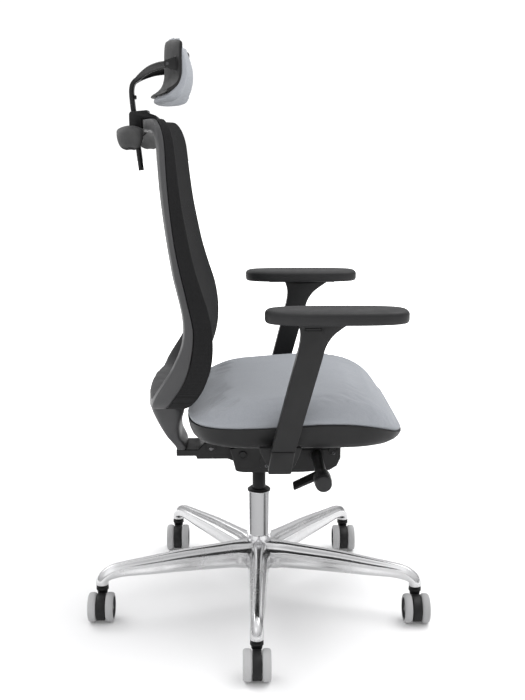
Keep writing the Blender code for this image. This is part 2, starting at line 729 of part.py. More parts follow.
def lift_rod():
    """Piston rod of the gas spring: it turns on the bearing and carries the cylinder."""
    seat = bearing_bottom() + BEARING_HEIGHT + GAP
    profile = [(0.0, ROD_TOP_Z), (ROD_R, ROD_TOP_Z), (ROD_R, seat + ROD_COLLAR),
               (ROD_COLLAR_R, seat + ROD_COLLAR), (ROD_COLLAR_R, seat), (ROD_R, seat),
               (ROD_R, HUB_BOTTOM_Z - 0.0020), (0.0, HUB_BOTTOM_Z - 0.0020)]
    return turned("lift_rod", profile, 12, ring=False)


def lift_cylinder():
    top = SOCKET_TOP_Z + 0.0020
    bore = bore_radius(ROD_R, 12) + 0.0002
    valve = VALVE_PIN_R + RUN
    profile = [(CYLINDER_TAPER_R, top), (CYLINDER_R, HOUSING_BOTTOM_Z),
               (CYLINDER_R, CYLINDER_BOTTOM_Z), (bore, CYLINDER_BOTTOM_Z),
               (bore, top - VALVE_SHOULDER), (valve, top - VALVE_SHOULDER), (valve, top)]
    return turned("lift_cylinder", profile, 24)


def rocker_underside():
    return ROCKER_PIVOT[1] - ROCKER_THICKNESS / 2.0


def release_pin():
    """Valve pin of the gas spring, pressed down by the rocker."""
    head = rocker_underside() - GAP
    shoulder = SOCKET_TOP_Z + 0.0020 - VALVE_SHOULDER - GAP
    profile = [(0.0, head), (VALVE_PIN_R, head),
               (VALVE_PIN_R, shoulder), (VALVE_PIN_R + 0.0012, shoulder),
               (VALVE_PIN_R + 0.0012, shoulder - 0.0060), (0.0, shoulder - 0.0060)]
    return turned("release_pin", profile, 12, ring=False)


# ------------------------------------------------------------------ mechanism
def mechanism_housing():
    """Cast tub round the pivots: open on top and, above its sill, at the rear."""
    front = HOUSING_FRONT_Y
    rear = HOUSING_REAR_Y
    low = HOUSING_BOTTOM_Z
    top = HOUSING_TOP_Z
    outline = [(front, top - 0.0010), (front, low + 0.0300), (front + 0.0080, low + 0.0130),
               (front + 0.0230, low + 0.0040), (front + 0.0800, low), (rear - 0.0290, low),
               (rear - 0.0130, low + 0.0030), (rear - 0.0080, low + 0.0240),
               (rear, top - 0.0040), (BACK_PIVOT[0] + 0.0120, top)]
    housing = side_plate("mechanism_housing", outline, 2.0 * HOUSING_HALF_WIDTH, bevel=0.0025)
    inner = HOUSING_HALF_WIDTH - HOUSING_WALL
    floor = low + HOUSING_WALL
    pocket_outline = [(front + HOUSING_WALL, top + 0.0100), (front + HOUSING_WALL, low + 0.0310),
                      (front + 0.0260, floor + 0.0040), (front + 0.0820, floor),
                      (BACK_PIVOT[0] - 0.0080, floor), (BACK_PIVOT[0] - 0.0080, low - 0.0100),
                      (rear + 0.0200, low - 0.0100), (rear + 0.0200, top + 0.0100)]
    cut(housing, side_plate("housing_pocket", pocket_outline, 2.0 * inner))
    socket_r = CYLINDER_R + SOCKET_WALL
    join(housing, cylinder("socket_boss", socket_r, SOCKET_TOP_Z - low - 0.0020,
                           (0.0, 0.0, (SOCKET_TOP_Z + low + 0.0020) / 2.0), axis="Z", sides=20))
    reach = 0.0100
    taper = turned("socket_taper", [(0.0, SOCKET_TOP_Z + reach),
                                    (CYLINDER_TAPER_R + GAP, SOCKET_TOP_Z + reach),
                                    (CYLINDER_TAPER_R + GAP, SOCKET_TOP_Z + 0.0020),
                                    (CYLINDER_R + GAP, low), (CYLINDER_R + GAP, low - reach),
                                    (0.0, low - reach)], 24, ring=False)
    cut(housing, taper)
    width = 2.0 * HOUSING_HALF_WIDTH + 0.0200
    for name, (y, z), radius in (("back_pivot_hole", BACK_PIVOT, PIN_R),
                                 ("seat_pivot_hole", SEAT_PIVOT, PIN_R),
                                 ("control_hole", CONTROL_AXIS, SLEEVE_R)):
        cut(housing, cylinder(name, bore_radius(radius, 16), width, (0.0, y, z)))
    y, z = ROCKER_PIVOT
    post = box("rocker_post", (0.0240, 0.0120, z - floor), (0.0, y, (z + floor) / 2.0))
    join(housing, post)
    slot = box("rocker_slot", (2.0 * ROCKER_HALF_WIDTH + 0.0016, 0.0200, 0.0200),
               (0.0, y, z + 0.0030))
    cut(housing, slot)
    cut(housing, cylinder("rocker_hole", bore_radius(ROCKER_PIN_R, 10), 0.0300,
                          (0.0, y, z - ROCKER_PIN_DROP), sides=10))
    return housing


def pivot_pin(name, place, radius, half_length):
    pin = cylinder(name, radius, 2.0 * half_length, (0.0, *place))
    add_bevel(pin, 0.0006)
    return pin


def recline_spring(side):
    """Torsion spring round the back pivot, with its legs on the housing's floor."""
    y, z = BACK_PIVOT
    pitch = 2.0 * SPRING_WIRE_R + 0.0004
    steps = 9
    start_x = side * (SPRING_X - pitch * SPRING_TURNS / 2.0)
    floor = HOUSING_BOTTOM_Z + HOUSING_WALL + SPRING_WIRE_R + GAP
    points = [(start_x, y - 0.0300, floor), (start_x, y - 0.0160, floor)]
    for i in range(SPRING_TURNS * steps + 1):
        angle = 2.0 * math.pi * i / steps + math.pi
        x = SPRING_X + pitch * (i / steps - SPRING_TURNS / 2.0)
        points.append((side * x, y + SPRING_R * math.cos(angle), z + SPRING_R * math.sin(angle)))
    end_x = side * (SPRING_X + pitch * SPRING_TURNS / 2.0)
    points.append((end_x, y - 0.0190, floor + 0.0120))
    return wire("recline_spring_%s" % ("right" if side < 0 else "left"), points, SPRING_WIRE_R)


def paddle(name, side, middle_x, outer_x):
    """A lever blade on its sleeve round the control axis, in the hand's reach."""
    y, z = CONTROL_AXIS
    inner_x = HOUSING_HALF_WIDTH - HOUSING_WALL - 0.0080
    length = outer_x - inner_x
    sleeve = cylinder(name, SLEEVE_R, length, (side * (inner_x + outer_x) / 2.0, y, z))
    root = SLEEVE_R * 0.4
    reach = SLEEVE_R + PADDLE_LENGTH
    half = PADDLE_THICKNESS / 2.0
    outline = [(y + root, z - 0.0070 + half), (y + root, z - 0.0070 - half)]
    drop = math.tan(PADDLE_DROP)
    outline += [(y + reach - 0.0030, z - 0.0070 - drop * (reach - root) - half * 0.8),
                (y + reach, z - 0.0060 - drop * (reach - root)),
                (y + reach - 0.0030, z - 0.0070 - drop * (reach - root) + half * 0.8)]
    join(sleeve, side_plate(name + "_blade", outline, PADDLE_WIDTH, side * middle_x, 0.0020))
    return sleeve


def height_lever():
    """Right-hand paddle on a sleeve; its crank lifts the rocker's foot."""
    outer_x = KNOB_END_X - KNOB_LENGTH - 0.0010
    lever = paddle("height_lever", -1.0, outer_x - PADDLE_WIDTH / 2.0 - 0.0060, outer_x)
    y, z = CONTROL_AXIS
    inner_x = HOUSING_HALF_WIDTH - HOUSING_WALL - 0.0080
    crank_top = rocker_underside() - GAP
    crank = box("crank", (0.0060, CRANK_REACH - 0.0060, crank_top - z - 0.0030),
                (-inner_x - 0.0032, y + CRANK_REACH / 2.0 + 0.0030,
                 (crank_top + z + 0.0030) / 2.0))
    join(lever, crank)
    bore = cylinder("tension_bore", bore_radius(TENSION_SHAFT_R, 12), 0.5,
                    (-0.25, y, z), sides=12)
    cut(lever, bore)
    return lever


def lock_lever():
    """Left-hand paddle that locks the recline."""
    outer_x = KNOB_END_X - KNOB_LENGTH
    lever = paddle("lock_lever", 1.0, outer_x - PADDLE_WIDTH / 2.0, outer_x)
    return lever


def release_rocker():
    """See-saw from the crank to the valve pin, on a short pin of its own."""
    y, z = ROCKER_PIVOT
    rear_y = VALVE_PIN_R
    front_y = ROCKER_FRONT_Y
    length = rear_y - front_y
    height = z
    rocker = box("release_rocker", (2.0 * ROCKER_HALF_WIDTH, length, ROCKER_THICKNESS),
                 (0.0, (rear_y + front_y) / 2.0, height))
    pivot_z = z - ROCKER_PIN_DROP
    foot_x = HOUSING_HALF_WIDTH - HOUSING_WALL - 0.0080
    foot = box("rocker_foot", (foot_x + 0.0040, 0.0080, ROCKER_THICKNESS),
               (-(foot_x + 0.0040) / 2.0, front_y + 0.0040, height))
    web = box("rocker_web", (2.0 * ROCKER_HALF_WIDTH, 0.0080, 0.0070),
              (0.0, y, pivot_z + 0.0005))
    pin = cylinder("rocker_pin", ROCKER_PIN_R, 0.0230, (0.0, y, pivot_z), sides=10)
    join(rocker, foot, web, pin)
    return rocker


def tension_shaft():
    """Threaded shaft inside the lever's sleeve, from the knob to the wedge."""
    outer_x = KNOB_END_X - KNOB_LENGTH / 2.0
    inner_x = -WEDGE_SIZE[0]
    return cylinder("tension_shaft", TENSION_SHAFT_R, outer_x - inner_x,
                    (-(outer_x + inner_x) / 2.0, *CONTROL_AXIS), sides=12)


def tension_knob():
    """Barrel knob on the shaft's end."""
    back = -(KNOB_END_X - KNOB_LENGTH)
    bore = TENSION_SHAFT_R + GAP
    depth = KNOB_LENGTH / 2.0 + GAP
    profile = [(0.0, KNOB_LENGTH), (KNOB_R - 0.0020, KNOB_LENGTH),
               (KNOB_R, KNOB_LENGTH - 0.0020), (KNOB_R, 0.0020), (KNOB_R - 0.0030, 0.0),
               (bore, 0.0), (bore, depth), (0.0, depth)]
    knob = turned("tension_knob", profile, 20, ring=False, location=(back, *CONTROL_AXIS))
    knob.rotation_mode = "XYZ"
    knob.rotation_euler = (0.0, math.radians(-90.0), 0.0)
    return knob


def tension_wedge():
    """Nut that the shaft's thread draws sideways against the springs' seat."""
    y, z = CONTROL_AXIS
    wedge = box("tension_wedge", WEDGE_SIZE, (WEDGE_SIZE[0] * 0.5 - 0.0040, y, z), bevel=0.0010)
    cut(wedge, cylinder("wedge_bore", bore_radius(TENSION_SHAFT_R, 12), 0.0800,
                        (0.0, y, z), sides=12))
    return wedge


def back_bar():
    """Channel from the recline pivot to the back's foot, open underneath."""
    pivot_y, pivot_z = BACK_PIVOT
    link_y, link_z = LINK_PIVOT
    front = CYLINDER_R + SOCKET_WALL + 0.0035
    top = link_z + LINK_PIN_R + LINK_LIFT + 0.0060
    rear = BAR_REAR_Y
    outline = [(front, pivot_z - 0.0110), (pivot_y - 0.0030, pivot_z - 0.0170),
               (pivot_y + 0.0160, pivot_z - 0.0190), (HOUSING_REAR_Y + 0.0040, pivot_z - 0.0130),
               (rear - 0.0420, pivot_z - 0.0130), (rear - 0.0410, pivot_z - 0.0065),
               (rear, pivot_z - 0.0065), (rear, BAR_TOP_Z), (rear - 0.0450, BAR_TOP_Z),
               (link_y + 0.0140, top), (link_y - 0.0300, top), (pivot_y + 0.0060, pivot_z + 0.0150),
               (front, pivot_z + 0.0110)]
    bar = side_plate("back_bar", outline, 2.0 * BAR_HALF_WIDTH, bevel=0.0015)
    inner = BAR_HALF_WIDTH - BAR_WALL
    tunnel = [(front - 0.0300, pivot_z - 0.0400), (rear - 0.0480, pivot_z - 0.0400),
              (rear - 0.0480, BAR_TOP_Z - 0.0060), (link_y + 0.0080, top - 0.0050),
              (link_y - 0.0280, top - 0.0050), (pivot_y + 0.0140, pivot_z + 0.0170),
              (front - 0.0300, pivot_z + 0.0300)]
    cut(bar, side_plate("bar_tunnel", tunnel, 2.0 * inner))
    width = 2.0 * BAR_HALF_WIDTH + 0.0200
    cut(bar, cylinder("bar_pivot_hole", bore_radius(PIN_R, 16), width, (0.0, *BACK_PIVOT)))
    slot = box("link_slot", (width, 2.0 * (LINK_PIN_R + LINK_PLAY),
                             2.0 * (LINK_PIN_R + LINK_LIFT)), (0.0, link_y, link_z))
    cut(bar, slot)
    return bar


# ------------------------------------------------------------------ seat
def seat_plate():
    """Top plate of the mechanism with two pairs of ears for its pins."""
    top = SHELL_BOTTOM_Z - GAP
    front = SEAT_PIVOT[0] - 0.0170
    rear = LINK_PIVOT[0] + 0.0150
    under = top - PLATE_THICKNESS
    plate = box("seat_plate", (2.0 * PLATE_HALF_WIDTH, rear - front, PLATE_THICKNESS),
                (0.0, (front + rear) / 2.0, top - PLATE_THICKNESS / 2.0))
    add_bevel(plate, 0.0010)
    for index, (y, z) in enumerate((SEAT_PIVOT, LINK_PIVOT)):
        radius = PIN_R if index == 0 else LINK_PIN_R
        for side in (-1, 1):
            low = z - radius - 0.0050
            outline = [(y - 0.0120, under + 0.0010), (y - 0.0080, low), (y + 0.0080, low),
                       (y + 0.0120, under + 0.0010)]
            x = side * (EAR_X + EAR_THICKNESS / 2.0)
            join(plate, side_plate("ear_%d_%d" % (index, side), outline, EAR_THICKNESS, x))
        width = 2.0 * (EAR_X + EAR_THICKNESS) + 0.0200
        cut(plate, cylinder("ear_hole_%d" % index, bore_radius(radius, 16), width, (0.0, y, z)))
    return plate


def seat_ring(inset, height):
    """Plan outline of the seat, moved in by the inset; height is z or a line over y."""
    half_y = (SEAT_REAR_Y - SEAT_FRONT_Y) / 2.0
    middle = (0.0, (SEAT_REAR_Y + SEAT_FRONT_Y) / 2.0)
    ring = []
    for x, y in rounded_outline(SEAT_HALF_WIDTH - inset, half_y - inset, 4.4, SEAT_SIDES, middle):
        z = height if isinstance(height, float) else height(y)
        ring.append((x, y, z))
    return ring


def seam_z(y):
    return curve_at(SEAM, y)


def seat_shell():
    """Moulded tray under the seat; its rim is the seam."""
    low = SHELL_BOTTOM_Z
    rim_inset = SHELL_WALL
    outer = [seat_ring(0.0400, low),
             seat_ring(0.0160, lambda y: low + 0.12 * (seam_z(y) - low)),
             seat_ring(0.0030, lambda y: low + 0.55 * (seam_z(y) - low)),
             seat_ring(0.0, seam_z)]
    shell = loft("seat_shell", outer)
    floor = low + SHELL_WALL
    inner = [seat_ring(0.0400 + SHELL_WALL, floor),
             seat_ring(0.0160 + SHELL_WALL, lambda y: floor + 0.12 * (seam_z(y) - low)),
             seat_ring(0.0030 + rim_inset, lambda y: floor + 0.55 * (seam_z(y) - low)),
             seat_ring(rim_inset, lambda y: seam_z(y) + SHELL_WALL),
             seat_ring(rim_inset, lambda y: seam_z(y) + 0.0300)]
    cut(shell, loft("tray", inner))
    return shell


def seat_pan():
    """Board that the foam is glued to, on the tray's floor."""
    floor = SHELL_BOTTOM_Z + SHELL_WALL + GAP
    inset = 0.0400 + SHELL_WALL + 0.0020
    return loft("seat_pan", [seat_ring(inset, floor), seat_ring(inset, floor + PAN_THICKNESS)])


def seat_cushion():
    """Foam seat: a plug down to the board and a crown over the tray's rim."""
    base = SHELL_BOTTOM_Z + SHELL_WALL + PAN_THICKNESS + 2.0 * GAP
    rim = SHELL_WALL + 0.0012
    plug = 0.0400 + SHELL_WALL + 0.0030

    def crown(inset, share):
        rings = seat_ring(inset, 0.0)
        return [(x, y, seam_z(y) + share * (curve_at(CROWN, y) - seam_z(y))) for x, y, _ in rings]

    rings = [seat_ring(plug, base),
             [(x, y, max(base + 0.0010, seam_z(y) - 0.0100)) for x, y, _ in
              seat_ring(plug * 0.45, 0.0)],
             seat_ring(rim, lambda y: seam_z(y) + GAP), seat_ring(0.0, lambda y: seam_z(y) + GAP),
             crown(-0.0010, 0.35), crown(0.0070, 0.70), crown(0.0240, 0.91),
             crown(0.0550, 0.97), crown(0.1200, 0.99)]
    return loft("seat_cushion", rings)


# ------------------------------------------------------------------ armrests
def lean(y, z, base_z=POST_SEAM_Z):
    """Moves a point of the upright post forward with its height above the seam."""
    return (y - (z - base_z) * math.tan(POST_LEAN), z)


def arm_bracket(side, label):
    """L-shaped arm under the seat, the post's foot and the bar that the sleeve rides on."""
    top = SHELL_BOTTOM_Z - GAP
    inner_x = PLATE_HALF_WIDTH + 0.0010
    outer_x = ARM_X - POST_THICKNESS / 2.0 + 0.0040
    seam = POST_SEAM_Z - GAP
    foot_outline = [(POST_FRONT_Y, seam), (POST_REAR_Y, seam),
                    lean(POST_REAR_Y - FOOT_TAPER, FOOT_BOTTOM_Z),
                    lean(POST_FRONT_Y - FOOT_TAPER, FOOT_BOTTOM_Z)]
    foot = side_plate("arm_bracket_" + label, foot_outline, POST_THICKNESS, side * ARM_X, 0.0030)
    elbow_low = FOOT_BOTTOM_Z + 0.0020
    elbow_outline = [(ELBOW_TOP[0], seam), (ELBOW_TOP[1], seam), (ELBOW_LOW[1], elbow_low),
                     (ELBOW_LOW[0], elbow_low)]
    elbow_x = ARM_X - POST_THICKNESS / 2.0 - 0.0025
    join(foot, side_plate("elbow_" + label, elbow_outline, 0.0140, side * elbow_x))
    arm = box("bracket_bar_" + label, (outer_x - inner_x, BRACKET_DEPTH, BRACKET_THICKNESS),
              (side * (inner_x + outer_x) / 2.0, BRACKET_Y, top - BRACKET_THICKNESS / 2.0))
    join(foot, arm)
    low = POST_SEAM_Z - 0.0200
    front = POST_MIDDLE_Y - STEM_BAR[1] / 2.0
    rear = POST_MIDDLE_Y + STEM_BAR[1] / 2.0
    bar_outline = [lean(front, low), lean(rear, low), lean(rear, STEM_TOP_Z),
                   lean(front, STEM_TOP_Z)]
    join(foot, side_plate("stem_bar_" + label, bar_outline, STEM_BAR[0], side * ARM_X))
    return foot


def arm_sleeve(side, label):
    """Hollow slanted post with its flared head."""
    seam = POST_SEAM_Z
    top = POST_HEAD_Z
    outline = [(POST_REAR_Y, seam), lean(POST_REAR_Y, seam + POST_STRAIGHT)]
    outline += [(y, top - drop) for y, drop in HEAD_CURVE]
    outline.append((POST_FRONT_Y, seam))
    sleeve = side_plate("arm_sleeve_" + label, outline, POST_THICKNESS, side * ARM_X, 0.0040)
    play = RUN
    low = seam - 0.0200
    high = POST_HEAD_Z - 0.0350
    front = POST_MIDDLE_Y - STEM_BAR[1] / 2.0 - play
    rear = POST_MIDDLE_Y + STEM_BAR[1] / 2.0 + play
    bore = [lean(front, low), lean(rear, low), lean(rear, high), lean(front, high)]
    cut(sleeve, side_plate("sleeve_bore_" + label, bore, STEM_BAR[0] + 2.0 * play, side * ARM_X))
    thick, deep, tall = BUTTON_SIZE
    face_x = ARM_X + POST_THICKNESS / 2.0
    slot_depth = thick + BUTTON_TRAVEL + 0.0010
    cut(sleeve, box("button_slot_" + label, (2.0 * slot_depth, deep + 2.0 * RUN,
                                             tall + 2.0 * RUN), (side * face_x, BUTTON_Y, BUTTON_Z)))
    return sleeve


def arm_button(side, label):
    thick, deep, tall = BUTTON_SIZE
    face_x = ARM_X + POST_THICKNESS / 2.0
    return box("arm_button_" + label, BUTTON_SIZE,
               (side * (face_x - thick / 2.0), BUTTON_Y, BUTTON_Z), bevel=0.0006)


def pad_middle(side):
    return PAD_MID_Y + side * PAD_OFFSET


def pad_ring(side, inset, z):
    middle = (side * PAD_X, pad_middle(side))
    outline = rounded_outline(PAD_WIDTH / 2.0 - inset, PAD_LENGTH / 2.0 - inset, 3.0, 24, middle)
    return [(x, y, z) for x, y in outline]


def arm_pad_base(side, label):
    """Slide under the pad, sunk in the pad's underside."""
    middle_z = POST_HEAD_Z + GAP + PAD_BASE_SIZE[2] / 2.0
    return box("arm_pad_base_" + label, PAD_BASE_SIZE,
               (side * PAD_BASE_X, pad_middle(side), middle_z), bevel=0.0010)


def arm_pad(side, label):
    low = PAD_BOTTOM_Z
    high = low + PAD_THICKNESS
    rings = [pad_ring(side, 0.0050, low), pad_ring(side, 0.0, low + 0.0050),
             pad_ring(side, 0.0, high - 0.0110), pad_ring(side, 0.0040, high - 0.0040),
             pad_ring(side, 0.0140, high)]
    pad = loft("arm_pad_" + label, rings)
    wide, deep, tall = PAD_BASE_SIZE
    pocket_top = POST_HEAD_Z + tall + 2.0 * GAP
    pocket_low = low - 0.0100
    pocket = box("pad_pocket_" + label, (wide + 2.0 * GAP, deep + 2.0 * GAP, pocket_top - pocket_low),
                 (side * PAD_BASE_X, pad_middle(side), (pocket_top + pocket_low) / 2.0))
    cut(pad, pocket)
    return pad


# ------------------------------------------------------------------ back
def back_half_width(z):
    """Half width of the back: widest at the waist, narrower at the top and bottom."""
    above = max(z - BACK_WAIST_Z, 0.0) / (BACK_TOP_Z - BACK_WAIST_Z)
    below = max(BACK_WAIST_Z - z, 0.0) / (BACK_WAIST_Z - BACK_BOTTOM_Z)
    return BACK_HALF_WIDTH * (1.0 - BACK_TAPER * above**1.5 - 0.14 * below**2)


def dish(x, z):
    """How far the back stands behind its own sides at x."""
    height = (z - BACK_BOTTOM_Z) / (BACK_TOP_Z - BACK_BOTTOM_Z)
    depth = DISH_BOTTOM + (DISH_TOP - DISH_BOTTOM) * min(max(height, 0.0), 1.0)
    return depth * (1.0 - min(abs(x) / back_half_width(z), 1.0) ** 2)


def back_loop(inset):
    """(x, z) points of the back's outline, moved in by the inset."""
    middle = (BACK_TOP_Z + BACK_BOTTOM_Z) / 2.0
    half_x = BACK_HALF_WIDTH - inset
    half_z = (BACK_TOP_Z - BACK_BOTTOM_Z) / 2.0 - inset
    radius = max(BACK_CORNER_R - inset, 0.0100)
    loop = []
    for x, z in rounded_rectangle(half_x, half_z, radius, BACK_STEPS):
        z += middle
        loop.append((x * (back_half_width(z) - inset) / half_x, z))
    return loop


def back_point(x, z, line, offset=0.0):
    return (x, curve_at(line, z) + dish(x, z) + offset, z)


def rim(name, inset, width, rear_line, rear_offset, front_line, front_offset):
    """Closed frame between two side lines, dished like the whole back."""
    outer = back_loop(inset)
    inner = back_loop(inset + width)
    rings = []
    for (xo, zo), (xi, zi) in zip(outer, inner):
        rings.append([back_point(xo, zo, rear_line, rear_offset),
                      back_point(xo, zo, front_line, front_offset),
                      back_point(xi, zi, front_line, front_offset),
                      back_point(xi, zi, rear_line, rear_offset)])
    return loft(name, rings, closed=True)


def leg_ring(z, rear, front, half_width):
    """Section of the leg with cut corners."""
    corner = 0.25 * (rear - front)
    flat = half_width - corner
    return [(-flat, rear, z), (flat, rear, z), (half_width, rear - corner, z),
            (half_width, front + corner, z), (flat, front, z), (-flat, front, z),
            (-half_width, front + corner, z), (-half_width, rear - corner, z)]


def back_frame():
    """Rear frame of the back with the leg that carries it to the bar."""
    frame = rim("back_frame", 0.0, RIM_WIDTH, REAR_LINE, 0.0, SPLIT_LINE, 0.0)
    sections = ((BAR_TOP_Z + GAP, *LEG_FOOT),) + LEG_SECTIONS
    join(frame, loft("back_leg", [leg_ring(*section) for section in sections]))
    return frame


def mesh_carrier():
    """Front frame that the mesh is stretched over."""
    return rim("mesh_carrier", 0.0, RIM_WIDTH, SPLIT_LINE, -2.0 * GAP,
               FRONT_LINE, MESH_THICKNESS + 2.0 * GAP)


def back_mesh():
    """Stretched mesh: one thin dished sheet over the carrier's front."""
    outer = [back_loop(inset) for inset in MESH_INSETS]
    front = [[back_point(x, z, FRONT_LINE) for x, z in loop] for loop in outer]
    rear = [[back_point(x, z, FRONT_LINE, MESH_THICKNESS) for x, z in loop] for loop in outer]
    return loft("back_mesh", rear[::-1] + front)


# ------------------------------------------------------------------ headrest and hanger
def post_y(z):
    """Middle line of the headrest's post: it leans back towards its top."""
    return POST_BOTTOM_Y + (z - POST_BOTTOM_Z) * math.tan(POST_TILT)


def blade_ring(y, z, slope, half_width, half_depth, x=0.0):
    """Flat section across a blade that runs along the slope (0 is up)."""
    along = (-math.cos(slope), math.sin(slope))
    ring = []
    for across, up in ((-1, -1), (1, -1), (1, 1), (-1, 1)):
        ring.append((x + across * half_width, y + up * half_depth * along[0],
                     z + up * half_depth * along[1]))
    return ring


def headrest_post():
    """Flat post that passes the clamp and forks into two prongs."""
    half = POST_WIDTH / 2.0
    thin = POST_DEPTH / 2.0
    sections = [(post_y(z), z, POST_TILT) for z in (POST_BOTTOM_Z, POST_BEND_Z)]
    sections += POST_BEND
    post = loft("headrest_post", [blade_ring(*section, half, thin) for section in sections])
    add_bevel(post, 0.0015)
    y, z = HEAD_PIVOT
    for side in (-1, 1):
        rings = [blade_ring(*section[:5], side * section[5]) for section in PRONG_SECTIONS]
        rings.append(blade_ring(y - 0.0011, z, -1.57, 0.0051, 0.0055, side * PRONG_X))
        join(post, loft("prong_%d" % side, rings))
        join(post, cylinder("prong_eye_%d" % side, PRONG_EYE_R, PRONG_EYE_LENGTH,
                            (side * PRONG_X, y, z)))
    cut(post, cylinder("prong_hole", bore_radius(HEAD_PIN_R, 10), 0.3000, (0.0, y, z), sides=10))
    return post


def headrest_pin(side):
    y, z = HEAD_PIVOT
    label = "right" if side < 0 else "left"
    middle_x = HEAD_EAR_X + (HEAD_EAR_THICKNESS - HEAD_PIN_LENGTH) / 2.0
    return cylinder("headrest_pin_" + label, HEAD_PIN_R, HEAD_PIN_LENGTH,
                    (side * middle_x, y, z), sides=10)


def post_slot(name, low, high):
    """Cutter for the slot that the post slides in."""
    return loft(name, [blade_ring(post_y(z), z, POST_TILT, POST_WIDTH / 2.0 + RUN,
                                  POST_DEPTH / 2.0 + RUN) for z in (low, high)])


def headrest_clamp():
    """Block that grips the post, with a hook over the back's top rail and a jaw under it."""
    rail_rear = curve_at(REAR_LINE, BACK_TOP_Z) + DISH_TOP
    rail_front = curve_at(FRONT_LINE, BACK_TOP_Z) + DISH_TOP
    middle = post_y(BACK_TOP_Z)
    block_front = rail_rear + GAP
    block_rear = middle + POST_DEPTH / 2.0 + 0.0040
    outline = [(block_rear, CLAMP_BOTTOM_Z), (block_rear, CLAMP_TOP_Z),
               (rail_rear - 0.0100, CLAMP_TOP_Z + 0.0030), (rail_front + 0.0140, CLAMP_TOP_Z - 0.0020),
               (rail_front - 0.0060, CLAMP_TOP_Z - 0.0120), (rail_front - 0.0080, BACK_TOP_Z - 0.0080),
               (rail_front - 0.0030, BACK_TOP_Z - 0.0080), (rail_front - 0.0015, BACK_TOP_Z + 0.0030),
               (block_front, BACK_TOP_Z + 0.0030), (block_front, CLAMP_BOTTOM_Z)]
    clamp = side_plate("headrest_clamp", outline, 2.0 * CLAMP_HALF_WIDTH, bevel=0.0012)
    cut(clamp, post_slot("post_slot", CLAMP_BOTTOM_Z - 0.0200, CLAMP_TOP_Z + 0.0200))
    return clamp


def head_dish(x):
    """How far the headrest's sides stand in front of its middle."""
    return HEAD_DISH * (x / HEAD_HALF_WIDTH) ** 2


def head_profile(points, x, shrink=1.0, front=None):
    """Side section at x of a piece dished like the headrest.

    Shrink pulls it to its middle, and front does so for what stands before the middle.
    """
    forward = head_dish(x)
    middle_y, middle_z = HEAD_MIDDLE
    ring = []
    for y, z in points:
        pull = front if front and y < middle_y else 0.5 + 0.5 * shrink
        y = middle_y + (y - middle_y) * pull
        z = middle_z + (z - middle_z) * shrink
        ring.append((x, y - forward, z))
    return ring


HEAD_STATIONS = ((-1.0, 0.80), (-0.93, 0.93), (-0.75, 1.0), (-0.38, 1.0), (0.0, 1.0),
                 (0.38, 1.0), (0.75, 1.0), (0.93, 0.93), (1.0, 0.80))


# how much of its depth the cushion keeps at each station
CUSHION_FRONT = (0.20, 0.55, 0.90, 1.0, 1.0, 1.0, 0.90, 0.55, 0.20)


def headrest_shell():
    """Curved shell behind the cushion, with two ears on the prongs' pins."""
    shell = loft("headrest_shell", [head_profile(HEAD_SHELL, share * HEAD_HALF_WIDTH, shrink)
                                    for share, shrink in HEAD_STATIONS])
    y, z = HEAD_PIVOT
    for side in (-1, 1):
        root = HEAD_REAR_Y - head_dish(HEAD_EAR_X + HEAD_EAR_THICKNESS / 2.0) - 0.0008
        ear = [(y + 0.0070, z - 0.0055), (y + 0.0070, z + 0.0055), (root, z + 0.0130),
               (root, z - 0.0130)]
        join(shell, side_plate("head_ear_%d" % side, ear, HEAD_EAR_THICKNESS,
                               side * HEAD_EAR_X))
        cut(shell, cylinder("head_hole_%d" % side, bore_radius(HEAD_PIN_R, 10),
                            2.0 * HEAD_EAR_THICKNESS, (side * HEAD_EAR_X, y, z), sides=10))
    return shell


def headrest_cushion():
    return loft("headrest_cushion", [head_profile(HEAD_CUSHION, share * HEAD_HALF_WIDTH, shrink, front)
                                     for (share, shrink), front in zip(HEAD_STATIONS, CUSHION_FRONT)])


def hanger_ring(share, chord):
    """Section of a wing: an arched plate that falls and sweeps forward to its tip."""
    x = share * HANGER_HALF_SPAN
    z = HANGER_Z + curve_at(HANGER_ARC, abs(share))
    y = HANGER_Y - HANGER_SWEEP * share * share
    arch = 0.12 * chord
    thick = HANGER_THICKNESS
    top = [(y + chord / 2.0, z - arch), (y, z), (y - chord / 2.0, z - arch)]
    low = [(y - chord / 2.0, z - arch - thick), (y, z - thick), (y + chord / 2.0, z - arch - thick)]
    return [(x, *point) for point in top + low]


def coat_hanger():
    """Two shoulder wings on a collar round the post."""
    left = [hanger_ring(share, chord) for share, chord in HANGER_CHORDS]
    right = [hanger_ring(-share, chord) for share, chord in reversed(HANGER_CHORDS)]
    hanger = loft("coat_hanger", right + left)
    middle_z = CLAMP_BOTTOM_Z - GAP - HANGER_COLLAR / 2.0
    collar = box("hanger_collar", (POST_WIDTH + 0.0120, POST_DEPTH + 0.0120, HANGER_COLLAR),
                 (0.0, post_y(middle_z), middle_z), bevel=0.0020)
    join(hanger, collar)
    cut(hanger, post_slot("hanger_slot", middle_z - 0.0300, middle_z + 0.0400))
    return hanger


